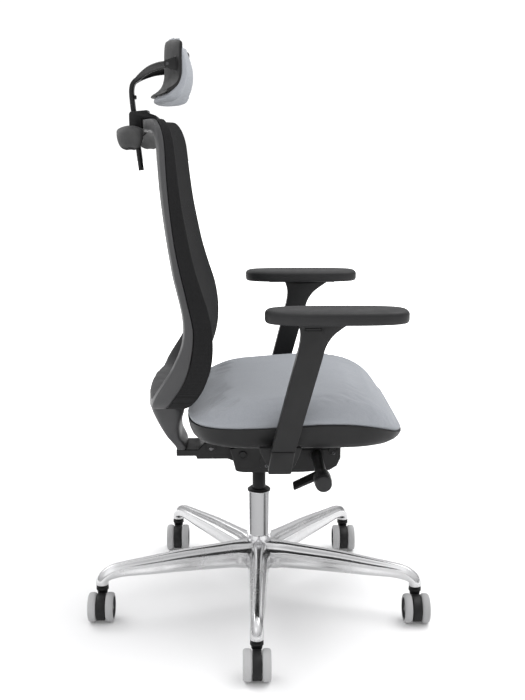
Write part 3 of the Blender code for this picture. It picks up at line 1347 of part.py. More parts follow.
# ------------------------------------------------------------------ the chair
def make_materials():
    return {
        "polished": material("polished_aluminium", (0.80, 0.80, 0.81), 0.12, 1.0),
        "chrome": material("chrome", (0.86, 0.86, 0.87), 0.05, 1.0),
        "steel": material("steel", (0.45, 0.45, 0.46), 0.35, 1.0),
        "black": material("black_plastic", (0.012, 0.012, 0.013), 0.45),
        "dark": material("dark_grey_plastic", (0.030, 0.030, 0.032), 0.50),
        "frame": material("frame_grey_plastic", (0.060, 0.060, 0.062), 0.55),
        "tyre": material("grey_tyre", (0.34, 0.34, 0.34), 0.60),
        "mesh": material("black_mesh", (0.020, 0.020, 0.021), 0.90),
        "fabric": material("grey_fabric", (0.30, 0.31, 0.33), 0.90),
        "foam": material("pad_foam", (0.035, 0.035, 0.037), 0.70),
    }


def build_base(paint, chair):
    finish(star_base(), paint["polished"], chair)
    finish(lift_tube(), paint["chrome"], chair)
    finish(lift_bush(), paint["black"], chair)
    finish(thrust_bearing(), paint["steel"], chair)
    for k in range(ARMS):
        x, y = stem_place(k)
        swivel = joint("caster_swivel_%d" % (k + 1), (x, y, FOOT_Z), chair)
        finish(caster_fork(k), paint["dark"], swivel)
        axle = joint("caster_axle_%d" % (k + 1), (x - WHEEL_TRAIL, y, AXLE_Z), swivel)
        for side in (-1, 1):
            finish(caster_wheel(k, side), paint["tyre"], axle)


def build_mechanism(paint, lift):
    finish(lift_cylinder(), paint["black"], lift)
    valve = joint("valve_axis", (0.0, 0.0, SOCKET_TOP_Z), lift)
    finish(release_pin(), paint["steel"], valve)
    finish(mechanism_housing(), paint["black"], lift, smooth=35)
    finish(pivot_pin("back_pivot_pin", BACK_PIVOT, PIN_R, HOUSING_HALF_WIDTH), paint["steel"], lift)
    finish(pivot_pin("seat_pivot_pin", SEAT_PIVOT, PIN_R, HOUSING_HALF_WIDTH), paint["steel"], lift)
    for side in (-1, 1):
        finish(recline_spring(side), paint["steel"], lift)
    control = joint("control_axis", (0.0, *CONTROL_AXIS), lift)
    finish(height_lever(), paint["black"], control)
    finish(lock_lever(), paint["black"], control)
    finish(tension_shaft(), paint["steel"], control)
    finish(tension_knob(), paint["black"], control)
    finish(tension_wedge(), paint["steel"], lift)
    rocker = joint("rocker_axis", (0.0, ROCKER_PIVOT[0], ROCKER_PIVOT[1] - ROCKER_PIN_DROP), lift)
    finish(release_rocker(), paint["steel"], rocker)


def build_seat(paint, lift):
    seat = joint("seat_pivot_axis", (0.0, *SEAT_PIVOT), lift)
    finish(seat_plate(), paint["black"], seat)
    finish(pivot_pin("link_pin", LINK_PIVOT, LINK_PIN_R, EAR_X + EAR_THICKNESS), paint["steel"], seat)
    finish(seat_shell(), paint["dark"], seat)
    finish(seat_pan(), paint["dark"], seat)
    finish(seat_cushion(), paint["fabric"], seat)
    for side, label in ((-1, "right"), (1, "left")):
        finish(arm_bracket(side, label), paint["dark"], seat)
        post = joint("arm_axis_" + label, (side * ARM_X, POST_MIDDLE_Y, POST_SEAM_Z), seat)
        finish(arm_sleeve(side, label), paint["dark"], post)
        finish(arm_button(side, label), paint["black"], post)
        slide = joint("pad_slide_" + label, (side * ARM_X, pad_middle(side), POST_HEAD_Z), post)
        finish(arm_pad_base(side, label), paint["dark"], slide)
        finish(arm_pad(side, label), paint["foam"], slide)


def build_back(paint, lift):
    back = joint("back_pivot_axis", (0.0, *BACK_PIVOT), lift)
    finish(back_bar(), paint["black"], back)
    finish(back_frame(), paint["frame"], back, smooth=35)
    finish(mesh_carrier(), paint["dark"], back, smooth=35)
    finish(back_mesh(), paint["mesh"], back, smooth=35)
    finish(headrest_clamp(), paint["dark"], back)
    finish(coat_hanger(), paint["dark"], back, smooth=35)
    height = joint("headrest_height_axis", (0.0, post_y(BACK_TOP_Z), BACK_TOP_Z), back)
    finish(headrest_post(), paint["dark"], height)
    tilt = joint("headrest_tilt_axis", (0.0, *HEAD_PIVOT), height)
    for side in (-1, 1):
        finish(headrest_pin(side), paint["steel"], height)
    finish(headrest_shell(), paint["dark"], tilt, smooth=35)
    finish(headrest_cushion(), paint["fabric"], tilt, smooth=35)


def main():
    start_scene()
    paint = make_materials()
    chair = joint("chair", (0.0, 0.0, 0.0), None)
    build_base(paint, chair)
    spindle = joint("seat_swivel_axis", (0.0, 0.0, HUB_BOTTOM_Z), chair)
    finish(lift_rod(), paint["steel"], spindle)
    lift = joint("lift_axis", (0.0, 0.0, CYLINDER_BOTTOM_Z), spindle)
    build_mechanism(paint, lift)
    build_seat(paint, lift)
    build_back(paint, lift)


main()
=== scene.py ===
"""Looks of the office chair: its visible pieces, their materials, the light and the camera.

Shapes are worked out in the column's frame, in metres: +Z up, -Y the front of the chair,
-X the sitter's right. COLUMN moves them to where the CAD model stands.
"""
import json
import math

import bmesh
import bpy
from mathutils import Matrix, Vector, noise


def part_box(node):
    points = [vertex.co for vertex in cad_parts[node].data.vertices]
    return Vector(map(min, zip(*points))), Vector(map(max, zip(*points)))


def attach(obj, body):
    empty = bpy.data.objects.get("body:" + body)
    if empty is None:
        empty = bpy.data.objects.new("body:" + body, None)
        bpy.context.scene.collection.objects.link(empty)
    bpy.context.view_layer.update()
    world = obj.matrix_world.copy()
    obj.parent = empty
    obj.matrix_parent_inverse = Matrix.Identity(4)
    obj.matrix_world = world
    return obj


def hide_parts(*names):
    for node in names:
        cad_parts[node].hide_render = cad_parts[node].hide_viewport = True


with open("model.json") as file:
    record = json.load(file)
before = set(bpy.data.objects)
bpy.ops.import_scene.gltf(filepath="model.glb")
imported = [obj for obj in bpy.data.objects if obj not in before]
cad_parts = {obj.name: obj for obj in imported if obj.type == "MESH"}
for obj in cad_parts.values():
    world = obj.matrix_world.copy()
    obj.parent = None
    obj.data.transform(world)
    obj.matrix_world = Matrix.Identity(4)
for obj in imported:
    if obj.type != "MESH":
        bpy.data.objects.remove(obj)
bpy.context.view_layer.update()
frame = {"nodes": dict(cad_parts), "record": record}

JOINTS = {joint["name"]: joint for joint in frame["record"]["behaviour"]["joints"]}
COLUMN = Vector((JOINTS["seat_swivel"]["pos_m"][0], 0.0, 0.0))
TURN = 2.0 * math.pi
GAP = 0.0003            # between two pieces that only just don't touch
RUN = 0.0006            # play around a piece that slides in another


def local_box(node):
    """A CAD node's box in the column's frame."""
    low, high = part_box(node)
    return low - COLUMN, high - COLUMN


# ------------------------------------------------------------------ mesh tools
def curve_at(points, x):
    """Height of a smooth line through the points, flat beyond both ends."""
    if x <= points[0][0]:
        return points[0][1]
    if x >= points[-1][0]:
        return points[-1][1]
    slopes = [(b[1] - a[1]) / (b[0] - a[0]) for a, b in zip(points, points[1:])]
    for i, (a, b) in enumerate(zip(points, points[1:])):
        if x <= b[0]:
            break
    left = 0.5 * (slopes[max(i - 1, 0)] + slopes[i])
    right = 0.5 * (slopes[i] + slopes[min(i + 1, len(slopes) - 1)])
    width = b[0] - a[0]
    t = (x - a[0]) / width
    return ((2 * t**3 - 3 * t**2 + 1) * a[1] + (t**3 - 2 * t**2 + t) * width * left
            + (3 * t**2 - 2 * t**3) * b[1] + (t**3 - t**2) * width * right)


def spline_rows(rows, steps):
    """Smooth in-between rows of numbers, with so many steps between two given rows."""
    made = []
    for i in range(len(rows) - 1):
        before, a, b = rows[max(i - 1, 0)], rows[i], rows[i + 1]
        after = rows[min(i + 2, len(rows) - 1)]
        for step in range(steps):
            t = step / steps
            made.append(tuple(
                0.5 * (2 * q + (r - p) * t + (2 * p - 5 * q + 4 * r - s) * t * t
                       + (3 * q - p - 3 * r + s) * t**3)
                for p, q, r, s in zip(before, a, b, after)))
    made.append(tuple(rows[-1]))
    return made


def cut_corners(points, share=0.25, times=1, closed=True):
    """Each corner of the line is replaced by two points, so that it turns softly."""
    for _ in range(times):
        made = []
        count = len(points)
        for i in range(count if closed else count - 1):
            a, b = points[i], points[(i + 1) % count]
            made.append(tuple(p + share * (q - p) for p, q in zip(a, b)))
            made.append(tuple(q + share * (p - q) for p, q in zip(a, b)))
        points = made if closed else [points[0]] + made[1:-1] + [points[-1]]
    return points


def from_edge(radius, height, rows):
    """A profile given by how far each point lies from (radius, height)."""
    return [(radius + out, height + up) for out, up in rows]


def signed_power(value, power):
    return math.copysign(abs(value) ** power, value)


def rounded_outline(half_x, half_y, squareness, count, middle=(0.0, 0.0)):
    """Points of a superellipse, counter-clockwise from +X."""
    points = []
    for i in range(count):
        angle = TURN * (i + 0.5) / count
        x = middle[0] + half_x * signed_power(math.cos(angle), 2.0 / squareness)
        y = middle[1] + half_y * signed_power(math.sin(angle), 2.0 / squareness)
        points.append((x, y))
    return points


def rounded_rectangle(half_x, half_y, radius, steps):
    """Outline from the +X side's top; steps count the corner, top and side pieces."""
    corner_steps, top_steps, side_steps = steps
    points = []
    for index, (sx, sy) in enumerate(((1, 1), (-1, 1), (-1, -1), (1, -1))):
        middle = (sx * (half_x - radius), sy * (half_y - radius))
        for i in range(corner_steps + 1):
            angle = 0.5 * math.pi * (index + i / corner_steps)
            points.append((middle[0] + radius * math.cos(angle),
                           middle[1] + radius * math.sin(angle)))
        start = points[-1]
        along_x = index % 2 == 0
        count = top_steps if along_x else side_steps
        length = 2.0 * ((half_x if along_x else half_y) - radius)
        for i in range(1, count):
            shift = length * i / count * (-sx if along_x else -sy)
            points.append((start[0] + shift, start[1]) if along_x
                          else (start[0], start[1] + shift))
    return points


def piece(name, bm, material, smooth=40.0):
    """A mesh piece made in the column's frame and put where the CAD stands."""
    bmesh.ops.recalc_face_normals(bm, faces=bm.faces)
    bmesh.ops.translate(bm, verts=bm.verts, vec=COLUMN)
    mesh = bpy.data.meshes.new(name)
    bm.to_mesh(mesh)
    bm.free()
    made = bpy.data.objects.new(name, mesh)
    bpy.context.scene.collection.objects.link(made)
    for each in material if isinstance(material, (list, tuple)) else [material]:
        mesh.materials.append(each)
    return crisp(made, smooth) if smooth else made


def crisp(made, degrees):
    """Smooth shading that keeps edges sharper than so many degrees."""
    made.data.shade_smooth()
    made.data.set_sharp_from_angle(angle=math.radians(degrees))
    return made


def add_rings(bm, rings, caps=True, closed=False, pole=False, index=0):
    """Faces between rings of as many points; pole closes the ends on one middle point."""
    rows = [[bm.verts.new(point) for point in ring] for ring in rings]
    pairs = list(zip(rows, rows[1:]))
    if closed:
        pairs.append((rows[-1], rows[0]))
    for low, high in pairs:
        for i in range(len(low)):
            j = (i + 1) % len(low)
            bm.faces.new((low[i], low[j], high[j], high[i])).material_index = index
    if closed or not caps:
        return rows
    for row in (rows[0], rows[-1]):
        if pole:
            middle = bm.verts.new(sum((v.co for v in row), Vector()) / len(row))
            for i in range(len(row)):
                bm.faces.new((row[i], row[(i + 1) % len(row)], middle)).material_index = index
        else:
            bm.faces.new(row).material_index = index
    return rows


def loft(name, rings, material, caps=True, closed=False, pole=False, smooth=40.0):
    bm = bmesh.new()
    add_rings(bm, rings, caps, closed, pole)
    return piece(name, bm, material, smooth)


def add_turned(bm, profile, steps, place=(0.0, 0.0, 0.0), axis="Z", closed=False, paint=None):
    """Revolves (radius, height) points; paint gives each profile piece's material."""
    rows = []
    for radius, height in profile:
        row = []
        for i in range(steps if radius > 1e-7 else 1):
            angle = TURN * i / steps
            a, b = radius * math.cos(angle), radius * math.sin(angle)
            point = {"Z": (a, b, height), "Y": (b, height, a), "X": (height, a, b)}[axis]
            row.append(bm.verts.new([p + q for p, q in zip(point, place)]))
        rows.append(row)
    pairs = list(zip(rows, rows[1:]))
    if closed:
        pairs.append((rows[-1], rows[0]))
    for number, (low, high) in enumerate(pairs):
        for i in range(steps):
            j = (i + 1) % steps
            corners = [low[i % len(low)], low[j % len(low)],
                       high[j % len(high)], high[i % len(high)]]
            corners = [v for k, v in enumerate(corners) if v not in corners[:k]]
            if len(corners) > 2:
                bm.faces.new(corners).material_index = paint[number] if paint else 0


def turned(name, profile, steps, material, place=(0.0, 0.0, 0.0), axis="Z", closed=False,
           paint=None, smooth=40.0):
    bm = bmesh.new()
    add_turned(bm, profile, steps, place, axis, closed, paint)
    return piece(name, bm, material, smooth)


def bevelled(made, width, segments=4, angle=30.0):
    """Rounds the piece's edges, and keeps its flat faces flat in the light."""
    step = made.modifiers.new("rounding", "BEVEL")
    step.width = width
    step.segments = segments
    step.limit_method = "ANGLE"
    step.angle_limit = math.radians(angle)
    step.harden_normals = True
    made.data.shade_smooth()
    return made


def plate(name, outline, thickness, material, x=0.0, width=0.0, segments=4):
    """A (y, z) outline, thick along X and centred on x, its edges rounded by width."""
    made = loft(name, [[(x + side * thickness / 2.0, y, z) for y, z in outline]
                       for side in (-1, 1)], material)
    return bevelled(made, width, segments) if width else made


def add_box(bm, size, place):
    corners = bmesh.ops.create_cube(bm, size=1.0)["verts"]
    for vertex in corners:
        vertex.co = Vector([c * s + p for c, s, p in zip(vertex.co, size, place)])
    return corners


def block(name, size, place, material, width, segments=3):
    bm = bmesh.new()
    add_box(bm, size, place)
    made = piece(name, bm, material)
    return bevelled(made, width, segments) if width else made


def combine(made, other, operation="UNION"):
    """Booleans the other piece into this one and removes it."""
    settle(other)
    step = made.modifiers.new("boolean", "BOOLEAN")
    step.operation = operation
    step.solver = "EXACT"
    step.object = other
    settle(made)
    bpy.data.objects.remove(other, do_unlink=True)
    return made


def settle(made):
    """Writes the piece's modifiers into its mesh."""
    depsgraph = bpy.context.evaluated_depsgraph_get()
    mesh = bpy.data.meshes.new_from_object(made.evaluated_get(depsgraph),
                                           preserve_all_data_layers=True, depsgraph=depsgraph)
    made.modifiers.clear()
    made.data = mesh
    return made


CLOTH_STEPS = 20
PRESSURE = 3.5


def puffed(made, voxel, pressure, cap, held):
    """Even faces, filled out by pressure where held(point) is false, then softened."""
    step = made.modifiers.new("remesh", "REMESH")
    step.mode = "VOXEL"
    step.voxel_size = voxel
    settle(made)
    blow_up(made, pressure, cap, held)
    made.data.shade_smooth()
    step = made.modifiers.new("softening", "SUBSURF")
    step.levels = 1
    step.render_levels = 1
    return settle(made)


def blow_up(made, pressure, cap, held):
    """Runs the mesh as cloth under pressure and moves each point by cap at most."""
    mesh = made.data
    start = [vertex.co.copy() for vertex in mesh.vertices]
    group = made.vertex_groups.new(name="held")
    group.add([i for i, co in enumerate(start) if held(co - COLUMN)], 1.0, "REPLACE")
    cloth = made.modifiers.new("cloth", "CLOTH")
    cloth.settings.use_pressure = True
    cloth.settings.uniform_pressure_force = pressure
    cloth.settings.quality = 4
    cloth.settings.mass = 0.3
    cloth.settings.vertex_group_mass = group.name
    cloth.settings.effector_weights.gravity = 0.0
    cloth.point_cache.frame_start = 1
    cloth.point_cache.frame_end = CLOTH_STEPS
    scene = bpy.context.scene
    for number in range(1, CLOTH_STEPS + 1):
        scene.frame_set(number)
    evaluated = made.evaluated_get(bpy.context.evaluated_depsgraph_get())
    after = [vertex.co.copy() for vertex in evaluated.data.vertices]
    made.modifiers.clear()
    scene.frame_set(1)
    for vertex, old, new in zip(mesh.vertices, start, after):
        move = new - old
        if move.length > cap:
            move *= cap / move.length
        vertex.co = old + move


def set_down(made, body, slot, *nodes):
    """The piece rides on its body and stands for its CAD nodes; slot is not used."""
    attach(made, body)
    if nodes:
        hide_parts(*nodes)
    return made


# ------------------------------------------------------------------ materials
def add_node(nodes, kind, values=None, **settings):
    """A shader node with its settings and the values of its inputs."""
    node = nodes.new(kind)
    for key, value in settings.items():
        setattr(node, key, value)
    for socket, value in (values or {}).items():
        node.inputs[socket].default_value = value
    return node


class Paint:
    """A Principled material with procedural colour, gloss and relief."""

    def __init__(self, name, colour, roughness, metallic=0.0):
        self.material = bpy.data.materials.new(name)
        self.material.use_nodes = True
        self.nodes = self.material.node_tree.nodes
        self.links = self.material.node_tree.links
        self.shader = self.nodes["Principled BSDF"]
        self.shader.inputs["Base Color"].default_value = (*colour, 1.0)
        self.shader.inputs["Roughness"].default_value = roughness
        self.shader.inputs["Metallic"].default_value = metallic
        self.colour = colour
        self.place = self.nodes.new("ShaderNodeTexCoord").outputs["Object"]

    def add(self, kind, values=None, **settings):
        return add_node(self.nodes, kind, values, **settings)

    def noise(self, scale, detail=4.0, stretch=(1.0, 1.0, 1.0)):
        mapping = self.add("ShaderNodeMapping", {"Scale": stretch})
        self.links.new(self.place, mapping.inputs["Vector"])
        node = self.add("ShaderNodeTexNoise", {"Scale": scale, "Detail": detail})
        self.links.new(mapping.outputs["Vector"], node.inputs["Vector"])
        return node.outputs["Fac"]

    def wave(self, scale, direction, turn):
        mapping = self.add("ShaderNodeMapping", {"Rotation": turn})
        self.links.new(self.place, mapping.inputs["Vector"])
        node = self.add("ShaderNodeTexWave", {"Scale": scale}, wave_type="BANDS",
                        bands_direction=direction)
        self.links.new(mapping.outputs["Vector"], node.inputs["Vector"])
        return node.outputs["Fac"]

    def math(self, operation, a, b):
        node = self.add("ShaderNodeMath", operation=operation)
        for socket, value in zip(node.inputs, (a, b)):
            if isinstance(value, (int, float)):
                socket.default_value = value
            else:
                self.links.new(value, socket)
        return node.outputs[0]

    def ramp(self, value, low, high, start=0.0, end=1.0):
        node = self.add("ShaderNodeMapRange", {"From Min": start, "From Max": end,
                                               "To Min": low, "To Max": high})
        self.links.new(value, node.inputs["Value"])
        return node.outputs["Result"]

    def shade(self, value, darker, lighter, start=0.3, end=0.7):
        """Colour between two shares of the base colour."""
        node = self.add("ShaderNodeValToRGB")
        for element, share, spot in zip(node.color_ramp.elements, (darker, lighter),
                                        (start, end)):
            element.position = spot
            element.color = (*[min(c * share, 1.0) for c in self.colour], 1.0)
        self.links.new(value, node.inputs["Fac"])
        self.links.new(node.outputs["Color"], self.shader.inputs["Base Color"])

    def gloss(self, value, low, high, start=0.3, end=0.7):
        self.links.new(self.ramp(value, low, high, start, end),
                       self.shader.inputs["Roughness"])

    def relief(self, value, distance, strength=1.0):
        node = self.add("ShaderNodeBump", {"Distance": distance, "Strength": strength})
        self.links.new(value, node.inputs["Height"])
        self.links.new(node.outputs["Normal"], self.shader.inputs["Normal"])

    def set(self, socket, value):
        self.shader.inputs[socket].default_value = value


def cast_metal(name, colour, low, high):
    paint = Paint(name, colour, low, 1.0)
    paint.gloss(paint.noise(26.0, 5.0), low, high)
    paint.relief(paint.noise(9.0, 2.0), 0.0010, 0.06)
    return paint.material


def brushed_metal(name, colour, roughness):
    paint = Paint(name, colour, roughness, 1.0)
    lines = paint.noise(300.0, 3.0, (0.04, 1.0, 1.0))
    paint.gloss(lines, roughness * 0.8, roughness * 1.3)
    paint.relief(lines, 0.0001, 0.3)
    return paint.material


def moulded(name, colour, roughness, grain=0.00012, scale=1500.0):
    """Spark-eroded plastic: a fine grain, slightly uneven gloss and shade."""
    paint = Paint(name, colour, roughness)
    cloud = paint.noise(7.0, 3.0)
    paint.shade(cloud, 0.88, 1.14)
    paint.gloss(paint.noise(40.0, 4.0), roughness * 0.90, roughness * 1.12)
    paint.relief(paint.noise(scale, 3.0), grain, 0.6)
    paint.set("Specular IOR Level", 0.26)
    return paint.material


def woven(name, colour, pitch, darker, lighter, relief, across="X", along="Y", sheen=0.0):
    """Plain weave: two crossed sets of yarns with fleck, on any side of a cushion."""
    paint = Paint(name, colour, 0.92)
    scale = TURN / (20.0 * pitch)
    lean = math.radians(38.0)
    warp = paint.wave(scale, across, (0.0, lean, 0.0))
    weft = paint.wave(scale, along, (lean, 0.0, 0.0))
    yarn = paint.math("MULTIPLY", warp, weft)
    fleck = paint.noise(420.0, 3.0)
    cloud = paint.noise(6.0, 2.0)
    mixed = paint.math("ADD", paint.math("MULTIPLY", yarn, 0.45),
                       paint.math("ADD", paint.math("MULTIPLY", fleck, 0.45),
                                  paint.math("MULTIPLY", cloud, 0.25)))
    paint.shade(mixed, darker, lighter, 0.25, 0.80)
    paint.relief(paint.math("ADD", yarn, paint.math("MULTIPLY", fleck, 0.5)), relief, 0.8)
    paint.set("Sheen Weight", sheen)
    paint.set("Sheen Roughness", 0.5)
    paint.set("Specular IOR Level", 0.15)
    return paint.material


POLISHED = cast_metal("polished_aluminium", (0.60, 0.60, 0.605), 0.19, 0.29)
CHROME = cast_metal("chrome", (0.78, 0.78, 0.79), 0.10, 0.16)
STEEL = brushed_metal("blackened_steel", (0.10, 0.10, 0.103), 0.42)
BLACK = moulded("black_plastic", (0.0055, 0.0055, 0.0057), 0.46)
DARK = moulded("dark_plastic", (0.0085, 0.0085, 0.0088), 0.50)
FRAME = moulded("frame_plastic", (0.052, 0.052, 0.0535), 0.50)
TYRE = moulded("tyre_grey", (0.40, 0.40, 0.403), 0.58, 0.00008)
HUB = moulded("wheel_hub", (0.022, 0.022, 0.023), 0.38)
TRIM = moulded("knob_trim", (0.014, 0.014, 0.0145), 0.40)
FOAM = moulded("pad_foam", (0.0140, 0.0140, 0.0146), 0.52, 0.00020, 900.0)
FABRIC = woven("grey_weave", (0.295, 0.308, 0.330), 0.0011, 0.88, 1.10, 0.00016, sheen=0.10)
MESH = woven("black_net", (0.0125, 0.0125, 0.013), 0.0013, 0.55, 1.7, 0.00022)


# ------------------------------------------------------------------ star base
STEM_CIRCLE_R = math.hypot(*[(JOINTS["caster_swivel_1"]["pos_m"][i] - COLUMN[i])
                             for i in (0, 1)])
FOOT_Z = JOINTS["caster_swivel_1"]["pos_m"][2]
STEMS = [Vector(JOINTS["caster_swivel_%d" % k]["pos_m"]) - COLUMN for k in range(1, 6)]
FOOT_R = 0.0130
HUB_TOP_Z = local_box("star_base")[1].z
HUB_BOTTOM_Z = local_box("star_base")[0].z
TUBE_R = 0.0250
ARM_MID_Z = 0.1025


def arm_section(half_depth, half_width, roundness):
    """(lateral, normal) points of the ridged bar, softened at its edges."""
    right = ((0.70, -1.0), (1.0, -0.66), (0.97, -0.42), (0.88, 0.0), (0.90, 0.30),
             (0.58, 0.50), (0.38, 1.0))
    bar = ((-0.70, -1.0),) + right + tuple((-x, z) for x, z in right[:0:-1])
    soft = cut_corners(bar, 0.16)
    soft = cut_corners(soft, 0.25)
    section = []
    for across, up in soft:
        angle = math.atan2(up, across)
        across += roundness * (math.cos(angle) - across)
        up += roundness * (math.sin(angle) - up)
        section.append((across * half_width, up * half_depth))
    return section


def base_arm(stem):
    along = Vector((stem.x, stem.y, 0.0)).normalized()
    side = Vector((-along.y, along.x, 0.0))
    reach = STEM_CIRCLE_R
    # distance out, height, slope, half depth, half width and roundness of each section
    rows = spline_rows((
        (0.012, ARM_MID_Z - 0.002, 0.0, 0.0290, 0.0290, 0.0),
        (0.040, ARM_MID_Z - 0.001, 0.0, 0.0285, 0.0275, 0.0),
        (0.060, ARM_MID_Z, -0.5, 0.0270, 0.0225, 0.0),
        (reach * 0.27, ARM_MID_Z, -1.0, 0.0255, 0.0203, 0.0),
        (reach * 0.50, ARM_MID_Z, -3.0, 0.0223, 0.0178, 0.0),
        (reach * 0.72, ARM_MID_Z - 0.0022, -4.0, 0.0180, 0.0155, 0.0),
        (reach - 0.048, FOOT_Z + 0.0280, -6.0, 0.0152, FOOT_R + 0.0008, 0.15),
        (reach - 0.024, FOOT_Z + 0.0247, -25.0, 0.0148, FOOT_R + 0.0003, 0.40),
        (reach - 0.008, FOOT_Z + 0.0168, -55.0, 0.0140, FOOT_R, 0.80),
        (reach - 0.0005, FOOT_Z + 0.0080, -82.0, FOOT_R, FOOT_R, 1.0),
        (reach, FOOT_Z + 0.0004, -90.0, FOOT_R, FOOT_R, 1.0)), 5)
    rings = []
    for out, height, degrees, half_depth, half_width, roundness in rows:
        slope = math.radians(degrees)
        roundness = min(max(roundness, 0.0), 1.0)
        rings.append([along * (out - up * math.sin(slope)) + side * across
                      + Vector((0.0, 0.0, height + up * math.cos(slope)))
                      for across, up in arm_section(half_depth, half_width, roundness)])
    return loft("arm", rings, POLISHED)


WEB_REACH = 0.0760
WEB_HALF_WIDTH = 0.0220
WEB_HALF_DEPTH = 0.0262
# height, width and corner radius of the web between the arms, from below
WEB_LEVELS = ((-0.97, 0.62, 0.016), (-0.42, 0.86, 0.021), (0.30, 0.80, 0.021),
              (0.47, 0.54, 0.018), (0.60, 0.38, 0.014), (0.96, 0.30, 0.011))


def star_ring(half_width, fillet, reach, z):
    """Outline of five crossing bars with a rounded corner between each two."""
    step = TURN / len(STEMS)
    half = step / 2.0
    ring = []
    for stem in STEMS:
        turn = math.atan2(stem.y, stem.x)
        for side in (-1, 1):
            ring.append((reach * math.cos(turn) - side * half_width * math.sin(turn),
                         reach * math.sin(turn) + side * half_width * math.cos(turn), z))
        middle = (half_width + fillet) / math.sin(half)
        for i in range(11):
            angle = turn + half + math.pi + (math.pi / 2.0 - half) * (1.0 - 0.2 * i)
            ring.append((middle * math.cos(turn + half) + fillet * math.cos(angle),
                         middle * math.sin(turn + half) + fillet * math.sin(angle), z))
    return ring


def make_base():
    depth = HUB_TOP_Z - HUB_BOTTOM_Z
    top_r = TUBE_R + 0.0014
    rows = [(0.0, HUB_TOP_Z), (top_r - 0.0010, HUB_TOP_Z), (top_r, HUB_TOP_Z - 0.0008),
            (top_r + 0.0006, HUB_TOP_Z - 0.0060), (top_r + 0.0040, HUB_TOP_Z - 0.0180),
            (0.0372, HUB_BOTTOM_Z + 0.28 * depth), (0.0270, HUB_BOTTOM_Z + 0.0012),
            (0.0250, HUB_BOTTOM_Z), (0.0, HUB_BOTTOM_Z)]
    base = turned("base", rows, 96, POLISHED)
    web = [star_ring(share * WEB_HALF_WIDTH, fillet, WEB_REACH,
                     ARM_MID_Z - 0.0005 + level * WEB_HALF_DEPTH)
           for level, share, fillet in WEB_LEVELS]
    combine(base, loft("web", web, POLISHED))
    for stem in STEMS:
        combine(base, base_arm(stem))
    set_down(crisp(base, 34.0), "base", "polished", "star_base")


# ------------------------------------------------------------------ casters
WHEEL_TRAIL = STEMS[0].x - (JOINTS["wheel_spin_1a"]["pos_m"][0] - COLUMN.x)
AXLE_Z = JOINTS["wheel_spin_1a"]["pos_m"][2]
WHEEL_R = AXLE_Z - 0.00002
WHEEL_WIDTH = 0.0165
HOOD_WIDTH = 0.0175
WHEEL_PLAY = 0.0008
COLLAR_R = 0.0125
SPOKES = 6


def make_caster(number, stem):
    x, y = stem.x, stem.y
    radius = WHEEL_R - 0.0018
    outline = [(radius * math.cos(math.radians(a)), radius * math.sin(math.radians(a)))
               for a in range(50, 231, 9)]
    outline += [(-0.0040, -0.0190), (0.0130, -0.0040), (0.0310, 0.0080)]
    rings = [[(x - WHEEL_TRAIL + out, y + side * HOOD_WIDTH / 2.0, AXLE_Z + up)
              for out, up in outline] for side in (-1, 1)]
    hood = settle(bevelled(loft("caster_hood_%d" % number, rings, DARK), 0.0016, 3))
    low = AXLE_Z + WHEEL_R - 0.0110
    top = FOOT_Z - GAP
    profile = [(0.0, top)] + from_edge(COLLAR_R, top, (
        (-0.0008, 0.0), (0.0, -0.0008), (0.0, -0.0040), (-0.0012, -0.0046),
        (-0.0012, -0.0054), (0.0002, -0.0060), (0.0002, -0.0098), (-0.0016, -0.0112)))
    profile += [(COLLAR_R - 0.0022, low + 0.0040), (COLLAR_R - 0.0050, low), (0.0, low)]
    combine(hood, turned("collar", profile, 48, DARK, (x, y, 0.0)))
    set_down(crisp(hood, 34.0), "caster_%d" % number, "dark", "caster_fork_%d" % number)
    for mark, side in (("a", -1), ("b", 1)):
        make_wheel("%d%s" % (number, mark), side, x - WHEEL_TRAIL,
                   y + side * (HOOD_WIDTH / 2.0 + WHEEL_PLAY))


def make_wheel(mark, side, x, inner):
    w, r = WHEEL_WIDTH, WHEEL_R
    profile = from_edge(0.0, w, ((0.0, -0.0022), (0.0060, -0.0022), (0.0068, -0.0030),
                                 (0.0080, -0.0040)))
    profile += from_edge(r, w, (
        (-0.0105, -0.0040), (-0.0092, -0.0032), (-0.0086, -0.0010), (-0.0078, -0.0004),
        (-0.0072, -0.0010), (-0.0068, -0.0006), (-0.0045, 0.0), (-0.0022, -0.0009),
        (-0.0006, -0.0030), (0.0, -0.0060)))
    profile += from_edge(r, 0.0, ((0.0, 0.0052), (-0.0008, 0.0026), (-0.0026, 0.0006),
                                  (-0.0050, 0.0)))
    profile += [(0.0045, 0.0), (0.0045, w * 0.5), (0.0, w * 0.5)]
    paint = [1] * 8 + [0] * 9 + [1] * 3     # hub, tyre, hub
    bm = bmesh.new()
    flipped = [(radius, side * out) for radius, out in profile]
    add_turned(bm, flipped, 72, (x, inner, AXLE_Z), "Y", paint=paint)
    middle = (r - 0.0100 + 0.0075) / 2.0
    for k in range(SPOKES):
        turn, lift = math.cos(TURN * k / SPOKES), math.sin(TURN * k / SPOKES)
        for vertex in add_box(bm, (0.0022, 0.0016, r - 0.0190), (0.0, 0.0, middle)):
            across, out, up = vertex.co
            vertex.co = Vector((x + across * turn + up * lift,
                                inner + side * (w - 0.0036) + out,
                                AXLE_Z + up * turn - across * lift))
            for face in vertex.link_faces:
                face.material_index = 1
    wheel = piece("wheel_%s" % mark, bm, [TYRE, HUB], 36.0)
    set_down(wheel, "wheel_%s" % mark, "tyre", "caster_wheel_%s" % mark)


